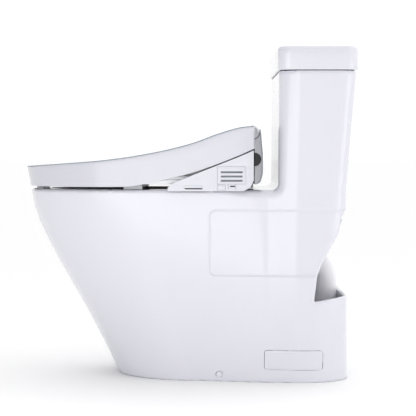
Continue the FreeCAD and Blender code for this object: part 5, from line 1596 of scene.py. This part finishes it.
@dataclass
class SeatUnit:
    """The covers, the working parts and the small visible details of the washing unit.

    The places of its painted slot shade and of its painted rear shade line are in millimetres, the other sizes
    in metres.
    """

    dresser: Dresser
    side_x: float = 0.192
    inlet_y: float = 0.046
    bolt_room: float = 0.0008
    latch_slot: tuple[Point2, Point2] = ((22.6, 418.9), (33.0, 421.5))
    latch_edges: Point2 = (18.6, 34.4)
    latch_levels: Point2 = (413.6, 424.6)
    rear_half: float = 189.3
    rear_shade_line: tuple[Point2, ...] = ((80.0, 426.4), (83.8, 429.0), (87.6, 437.4), (90.2, 448.0), (90.4, 470.0),
                                     (90.2, 490.0), (88.8, 507.0), (87.0, 526.0), (86.0, 537.0))

    def dress_covers(self) -> None:
        """Round the moulded covers' edges and dress them."""
        nodes = self.dresser.nodes
        # The rear housing wears grey painted shade for its rear-facing corner.
        for name, width, finish in (
                ("unit_cover", 0.0022, "unit_plastic"), ("unit_rear_housing", 0.002, "rear_painted_shade"),
                ("side_cover_right", 0.0013, "unit_plastic"), ("side_cover_left", 0.0013, "unit_plastic"),
                ("hinge_cheeks", 0.001, "inner_plastic"), ("unit_base_plate", 0.0008, "inner_plastic")):
            piece = softened(nodes[name], f"{name}_moulding", width)
            self.dresser.place(piece, Body.SEAT_UNIT, finish, name,
                               slot="unit_plastic" if finish == "rear_painted_shade" else None)

    def dress_controls(self, slats: ModifierTree) -> None:
        """The filter with its slats, the release button, the light strip, the dark fills painted as shade in
        the cover's slots, the dark strips painted as shade along its rear edges, and the grommet.

        Args:
            slats: The tree that makes the louvres.
        """
        nodes, dresser = self.dresser.nodes, self.dresser
        grille = softened(nodes["filter_cover"], "filter_grille", 0.0005, 2)
        dresser.place(grille, Body.FILTER, "unit_plastic", "filter_cover")
        cassette = softened(nodes["filter_cassette"], "filter_tray", 0.001, 2)
        dresser.place(cassette, Body.FILTER, "inner_plastic", "filter_cassette")
        low, _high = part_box("filter_cover")
        blades = slats.bake("filter_slats", {
            "Material": dresser.materials["slate"], "Count": 3, "Size": (0.0004, 0.0455, 0.0037),
            "Start": (self.side_x - 0.0018, low.y + 0.030, low.z + 0.007), "Pitch": (0.0, 0.0, 0.009),
            "Tilt": (0.0, 0.5, 0.0)})
        dresser.place(blades, Body.FILTER, "slate", slot="unit_plastic")
        button = softened(nodes["release_button"], "release_key", 0.0009)
        dresser.place(button, Body.RELEASE, "unit_plastic", "release_button")
        lens = softened(nodes["night_light_lens"], "night_light_strip", 0.0007)
        dresser.place(lens, Body.SEAT_UNIT, "lens", "night_light_lens")
        low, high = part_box("night_light_lens")
        face = high.x / MM
        # Dark fills painted as shade in the light strip's slot, in the latch slot and along the latch's edges.
        shade_fills = [self.shade_fill("strip_slot", (low.y / MM + 2, low.z / MM - 2.6),
                           (high.y / MM - 1, low.z / MM - 0.3), face, 0.1, 0.2),
                 self.shade_fill("latch_slot", *self.latch_slot, face, 0.1, 0.2)]
        bottom, top = self.latch_levels
        shade_fills += [self.shade_fill("latch_edge", (y - 0.2, bottom), (y + 0.2, top), face, 0.06, 0.05)
                  for y in self.latch_edges]
        dresser.place(joined("cover_slot_painted_shade", shade_fills), Body.SEAT_UNIT, "black_rubber", slot="unit_plastic")
        # Dark strips painted as shade along the rounded rear edges of the side covers.
        edges = [np.array([(side * self.rear_half, y, z) for y, z in self.rear_shade_line]) for side in (1, -1)]
        strips = [tube("rear_shade_line", edge, 1.5, 10) for edge in edges]
        dresser.place(joined("rear_edge_painted_shade", strips), Body.SEAT_UNIT, "slate", slot="unit_plastic")
        grommet = softened(nodes["cord_grommet"], "cord_bush", 0.0005)
        dresser.place(grommet, Body.SEAT_UNIT, "black_rubber", "cord_grommet")

    def shade_fill(self, name: str, low: Point2, high: Point2, face: float, proud: float,
             soft: float) -> bpy.types.Object:
        """A dark fill painted as the shade in a slot of the side cover, in millimetres.

        Args:
            name: The slot's name.
            low: Its lower front corner, as (y, z).
            high: Its upper rear corner.
            face: The x of the cover's face.
            proud: How far its dark fill stands before the face.
            soft: How round its edges are.

        Returns:
            The slot's fill.
        """
        outline = [low, (high[0], low[1]), high, (low[0], high[1])]
        return soft_bar(name, outline, face - 3.0, face + proud, soft)

    def dress_inside(self, rings: ModifierTree, studs: ModifierTree) -> None:
        """The working parts under the covers.

        Args:
            rings: The tree that makes threads and ribs.
            studs: The tree that makes the board's chips.
        """
        nodes, dresser = self.dresser.nodes, self.dresser
        for name, finish, width, body in (
                ("water_heater", "inner_plastic", 0.003, Body.SEAT_UNIT),
                ("valve_block", "inner_plastic", 0.0025, Body.SEAT_UNIT),
                ("dryer_duct", "inner_plastic", 0.001, Body.SEAT_UNIT),
                ("nozzle_head", "unit_plastic", 0.0004, Body.NOZZLE),
                ("seat_bumpers", "soft_rubber", 0.0016, Body.SEAT),
                ("tank_lid_pads", "soft_rubber", 0.0003, Body.TOILET),
                ("mounting_plate", "inner_plastic", 0.0006, Body.TOILET),
                ("trip_lever_handle", "lever_chrome", 0.0026, Body.TRIP_LEVER),
                ("trip_lever_arm", "valve_plastic", 0.0008, Body.TRIP_LEVER),
                ("floor_bracket", "pipe_plastic", 0.0012, Body.TOILET)):
            piece = softened(nodes[name], f"{name}_form", width)
            if name == "valve_block":
                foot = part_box(name)[0].z
                for vertex in piece.data.vertices:
                    vertex.co.z += self.bolt_room if vertex.co.z < foot + 0.0005 else 0.0
            dresser.place(piece, body, finish, name)
        low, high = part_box("circuit_board")
        chips = studs.bake("board_chips", {
            "Material": dresser.materials["black_rubber"], "Columns": 9, "Rows": 4, "Width": 0.072,
            "Depth": 0.020, "Centre": ((low.x + high.x) / 2, (low.y + high.y) / 2, high.z + 0.0006), "Seed": 7})
        dresser.place(chips, Body.SEAT_UNIT, "black_rubber", slot="board")
        low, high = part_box("water_inlet_fitting")
        thread = rings.bake("inlet_thread", {
            "Material": dresser.materials["valve_plastic"], "Count": 7, "Radius": 0.0091, "Bead": 0.00045,
            "Start": (low.x + 0.001, self.inlet_y, (low.z + high.z) / 2), "Pitch": (0.0013, 0.0, 0.0),
            "Turn": (0.0, math.pi / 2, 0.0)})
        dresser.place(thread, Body.SEAT_UNIT, "valve_plastic")


# ------------------------------------------------------------------ the tank's insides

@dataclass
class TankWorks:
    """The fill valve, the flush valve and what joins them, in the tank, sizes in metres."""

    dresser: Dresser
    fill_x: float = -0.12
    valves_y: float = 0.205

    def dress(self, rings: ModifierTree) -> None:
        """Round and dress each working part.

        Args:
            rings: The tree that makes threads and ribs.
        """
        nodes, dresser, finish = self.dresser.nodes, self.dresser, "valve_plastic"
        low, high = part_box("fill_valve_body")
        supply = rings.bake("supply_thread_crests", {
            "Material": dresser.materials[finish], "Count": 12, "Radius": 0.0099, "Bead": 0.0005,
            "Start": (self.fill_x, self.valves_y, low.z + 0.003), "Pitch": (0.0, 0.0, 0.0015)})
        dresser.place(supply, Body.TOILET, finish)
        for name, body in (("fill_valve_body", Body.TOILET), ("fill_valve_nut", Body.TOILET),
                           ("fill_valve_float", Body.FLOAT), ("flush_valve_base", Body.TOILET),
                           ("flush_valve_canister", Body.CANISTER)):
            piece = softened(nodes[name], f"{name}_form", 0.0009, 2, 50.0)
            dresser.place(piece, body, finish, name)
        low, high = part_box("flush_valve_canister")
        ribs = rings.bake("canister_ribs", {
            "Material": dresser.materials[finish], "Count": 5, "Radius": 0.0331, "Bead": 0.0009,
            "Start": (0.0, self.valves_y, low.z + 0.016), "Pitch": (0.0, 0.0, (high.z - low.z - 0.032) / 4)})
        dresser.place(ribs, Body.CANISTER, finish)
        low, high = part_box("fill_valve_float")
        hoops = rings.bake("float_hoops", {
            "Material": dresser.materials[finish], "Count": 2, "Radius": 0.0281, "Bead": 0.0008,
            "Start": (self.fill_x, self.valves_y, low.z + 0.008), "Pitch": (0.0, 0.0, high.z - low.z - 0.016)})
        dresser.place(hoops, Body.FLOAT, finish)


# ------------------------------------------------------------------ studio

@dataclass
class Studio:
    """The pale floor, the soft lights and the camera that looks square onto the right flank."""

    distance: float = 3.0
    eye: float = 0.497
    aim_y: float = -0.024
    pixels: float = 416.0
    focal_pixels: float = 1330.0
    horizon_pixel: float = 150.0
    wall_light: float = 1.1
    room_light: float = 0.42
    front_light: float = 0.2
    ceiling_light: float = 0.6
    floor_reach: float = 60.0
    floor_near: float = 12.0
    softboxes: tuple[tuple[str, Point3, Point3, float, float], ...] = (
        ("front_key", (1.5, -0.5, 0.3), (0.0, -0.1, 0.12), 1.2, 7.0),
        ("rear_key", (1.0, 2.0, 1.8), (0.0, 0.0, 0.2), 2.4, 6.0),
        ("rear_low", (0.9, 1.3, 0.35), (0.0, 0.25, 0.24), 0.6, 1.4))

    def build(self) -> None:
        """Make the floor, the surroundings, the lights and the camera."""
        self.lay_floor()
        self.light_room()
        for box in self.softboxes:
            self.softbox(*box)
        self.aim_camera()

    def lay_floor(self) -> None:
        """Lay the pale matt floor."""
        far, near = self.floor_reach, self.floor_near
        floor = make_object("studio_floor", [(-far, -far, 0), (near, -far, 0), (near, far, 0), (-far, far, 0)],
                            [(0, 1, 2, 3)], 1.0)
        material = bpy.data.materials.new("pale_floor")
        material.use_nodes = True
        shader = material.node_tree.nodes["Principled BSDF"]
        shader.inputs["Base Color"].default_value = (0.94, 0.94, 0.94, 1.0)
        shader.inputs["Roughness"].default_value = 0.75
        shader.inputs["Specular IOR Level"].default_value = 0.2
        floor.data.materials.append(material)
        floor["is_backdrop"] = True

    def light_room(self) -> None:
        """Surround the object with a white room, darker in front of it and behind the camera."""
        world = bpy.data.worlds.new("white_room")
        world.use_nodes = True
        nodes = Nodes(world.node_tree)
        sky = world.node_tree.nodes["Background"]
        where = nodes.add("ShaderNodeTexCoord").outputs["Generated"]
        parts = nodes.add("ShaderNodeSeparateXYZ", {0: where})

        def ramp(axis: str, start: float, end: float, low: float, high: float) -> bpy.types.NodeSocket:
            """A light level that changes softly along one axis of the direction of view."""
            return nodes.add("ShaderNodeMapRange", {"Value": parts.outputs[axis], "From Min": start,
                                                    "From Max": end, "To Min": low, "To Max": high},
                             interpolation_type="SMOOTHSTEP").outputs[0]

        ends = ramp("Y", -0.9, -0.1, self.front_light, 1.0)
        sides = ramp("X", -0.4, 0.6, self.wall_light, self.room_light)
        low_wall = ramp("Z", 0.03, 0.2, self.wall_light, 0.0)
        ceiling = ramp("Z", 0.2, 1.0, 0.0, self.ceiling_light)
        walls = nodes.math("MULTIPLY", ends, sides)
        strength = nodes.math("MAXIMUM", nodes.math("ADD", walls, ceiling), low_wall)
        world.node_tree.links.new(strength, sky.inputs["Strength"])
        sky.inputs["Color"].default_value = (1.0, 1.0, 1.0, 1.0)
        bpy.context.scene.world = world
        bpy.context.scene.view_settings.view_transform = "Standard"

    def aim_camera(self) -> None:
        """Set the camera square to the right flank, tilted so that the horizon sits at its pixel."""
        camera = bpy.data.cameras.new("side_view")
        camera.sensor_width = 36.0
        tilt = math.atan((self.pixels / 2 - self.horizon_pixel) / self.focal_pixels)
        camera.lens = camera.sensor_width * self.focal_pixels / self.pixels / math.cos(tilt)
        camera.clip_end = 2.0 * self.floor_reach
        view = bpy.data.objects.new("side_view", camera)
        view.location = (self.distance, self.aim_y, self.eye)
        view.rotation_euler = (math.pi / 2 - tilt, 0.0, math.pi / 2)
        bpy.context.scene.collection.objects.link(view)
        bpy.context.scene.camera = view

    def softbox(self, name: str, place: Point3, aim: Point3, size: float, power: float) -> None:
        """Add a soft square light.

        Args:
            name: Its name.
            place: Where it stands.
            aim: Where it points.
            size: Its side, in metres.
            power: Its power, in watts.
        """
        lamp = bpy.data.lights.new(name, "AREA")
        lamp.size = size
        lamp.energy = power
        obj = bpy.data.objects.new(name, lamp)
        obj.location = place
        obj.rotation_euler = (Vector(aim) - Vector(place)).to_track_quat("-Z", "Y").to_euler()
        bpy.context.scene.collection.objects.link(obj)


# The CAD nodes whose shape stays as it is, with the finish that each wears.
KEPT = {
    # The trapway wears china painted lighter, painted light against the skirt's shade.
    "flush_channel": "china", "trapway": "china_raw", "outlet_adapter": "pipe_plastic",
    "outlet_gasket": "black_rubber", "side_screws": "screw_steel", "flush_valve_gasket": "black_rubber",
    "flush_valve_seal": "red_rubber", "lift_link": "screw_steel", "refill_tube": "soft_rubber",
    "mounting_bolts": "screw_steel", "water_inlet_fitting": "valve_plastic", "circuit_board": "board",
    "dryer_fan": "inner_plastic", "nozzle_tube": "nozzle_steel", "nozzle_cradle": "inner_plastic",
    "nozzle_motor": "motor_metal", "lid_hinge_pins": "screw_steel", "seat_heater": "foil",
    "seat_hinge_pins": "screw_steel", "lid_bumpers": "soft_rubber",
}


def write_sizes(after: object) -> None:
    """Define a helper that turns a box into lists of numbers; no box is kept or written.

    Args:
        after: The box with every piece in place; not used.
    """
    def plain(bounds: object) -> list:
        """The box as lists of numbers."""
        return [[float(number) for number in corner] for corner in bounds]


def main() -> None:
    """Build every sub-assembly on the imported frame."""
    logging.basicConfig(level=logging.INFO, format="%(name)s: %(message)s")
    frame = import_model()
    dresser = Dresser(frame)
    for name, finish in KEPT.items():
        dresser.keep(name, finish)
    china = China()
    dresser.place(china.build(), Body.TOILET, "china", "bowl_deck", "bowl_basin", "skirt_nose", "skirt_right",
                  "skirt_left", "tank_casting")
    dresser.place(TankLid().build(), Body.TANK_COVER, "china", "tank_lid")
    hatches = HatchCovers()
    for side, name in ((1, "access_cover_right"), (-1, "access_cover_left")):
        dresser.place(hatches.build(china, side), Body.TOILET, "china_cap", name)
    dresser.place(ScrewCaps().build(china), Body.TOILET, "china_cap")
    lid = Lid()
    dresser.place(lid.build(), Body.LID, "lid_plastic", "lid_shell")
    dresser.place(lid.lugs(), Body.LID, "lid_plastic")
    # The lid's dark lines are painted: a reflection along its top edge, shade in its side creases.
    dresser.place(lid.painted_edge_lines(), Body.LID, "painted_reflection_and_shade", slot="lid_plastic")
    # The hinge cheeks wear grey painted shade for the lid's rear.
    dresser.place(lid.cheeks(), Body.LID, "rear_painted_shade", slot="lid_plastic")
    seat = SeatRing()
    dresser.place(seat.build_top(), Body.SEAT, "seat_plastic", "seat_top_shell")
    dresser.place(seat.build_bottom(), Body.SEAT, "seat_plastic", "seat_bottom_shell")
    slats, rings, studs = slat_tree(), ring_tree(), stud_tree()
    unit = SeatUnit(dresser)
    unit.dress_covers()
    unit.dress_controls(slats)
    unit.dress_inside(rings, studs)
    TankWorks(dresser).dress(rings)
    Studio().build()
    LOG.info("%d pieces placed", dresser.count)
    write_sizes(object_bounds())


if __name__ == "__main__":
    main()
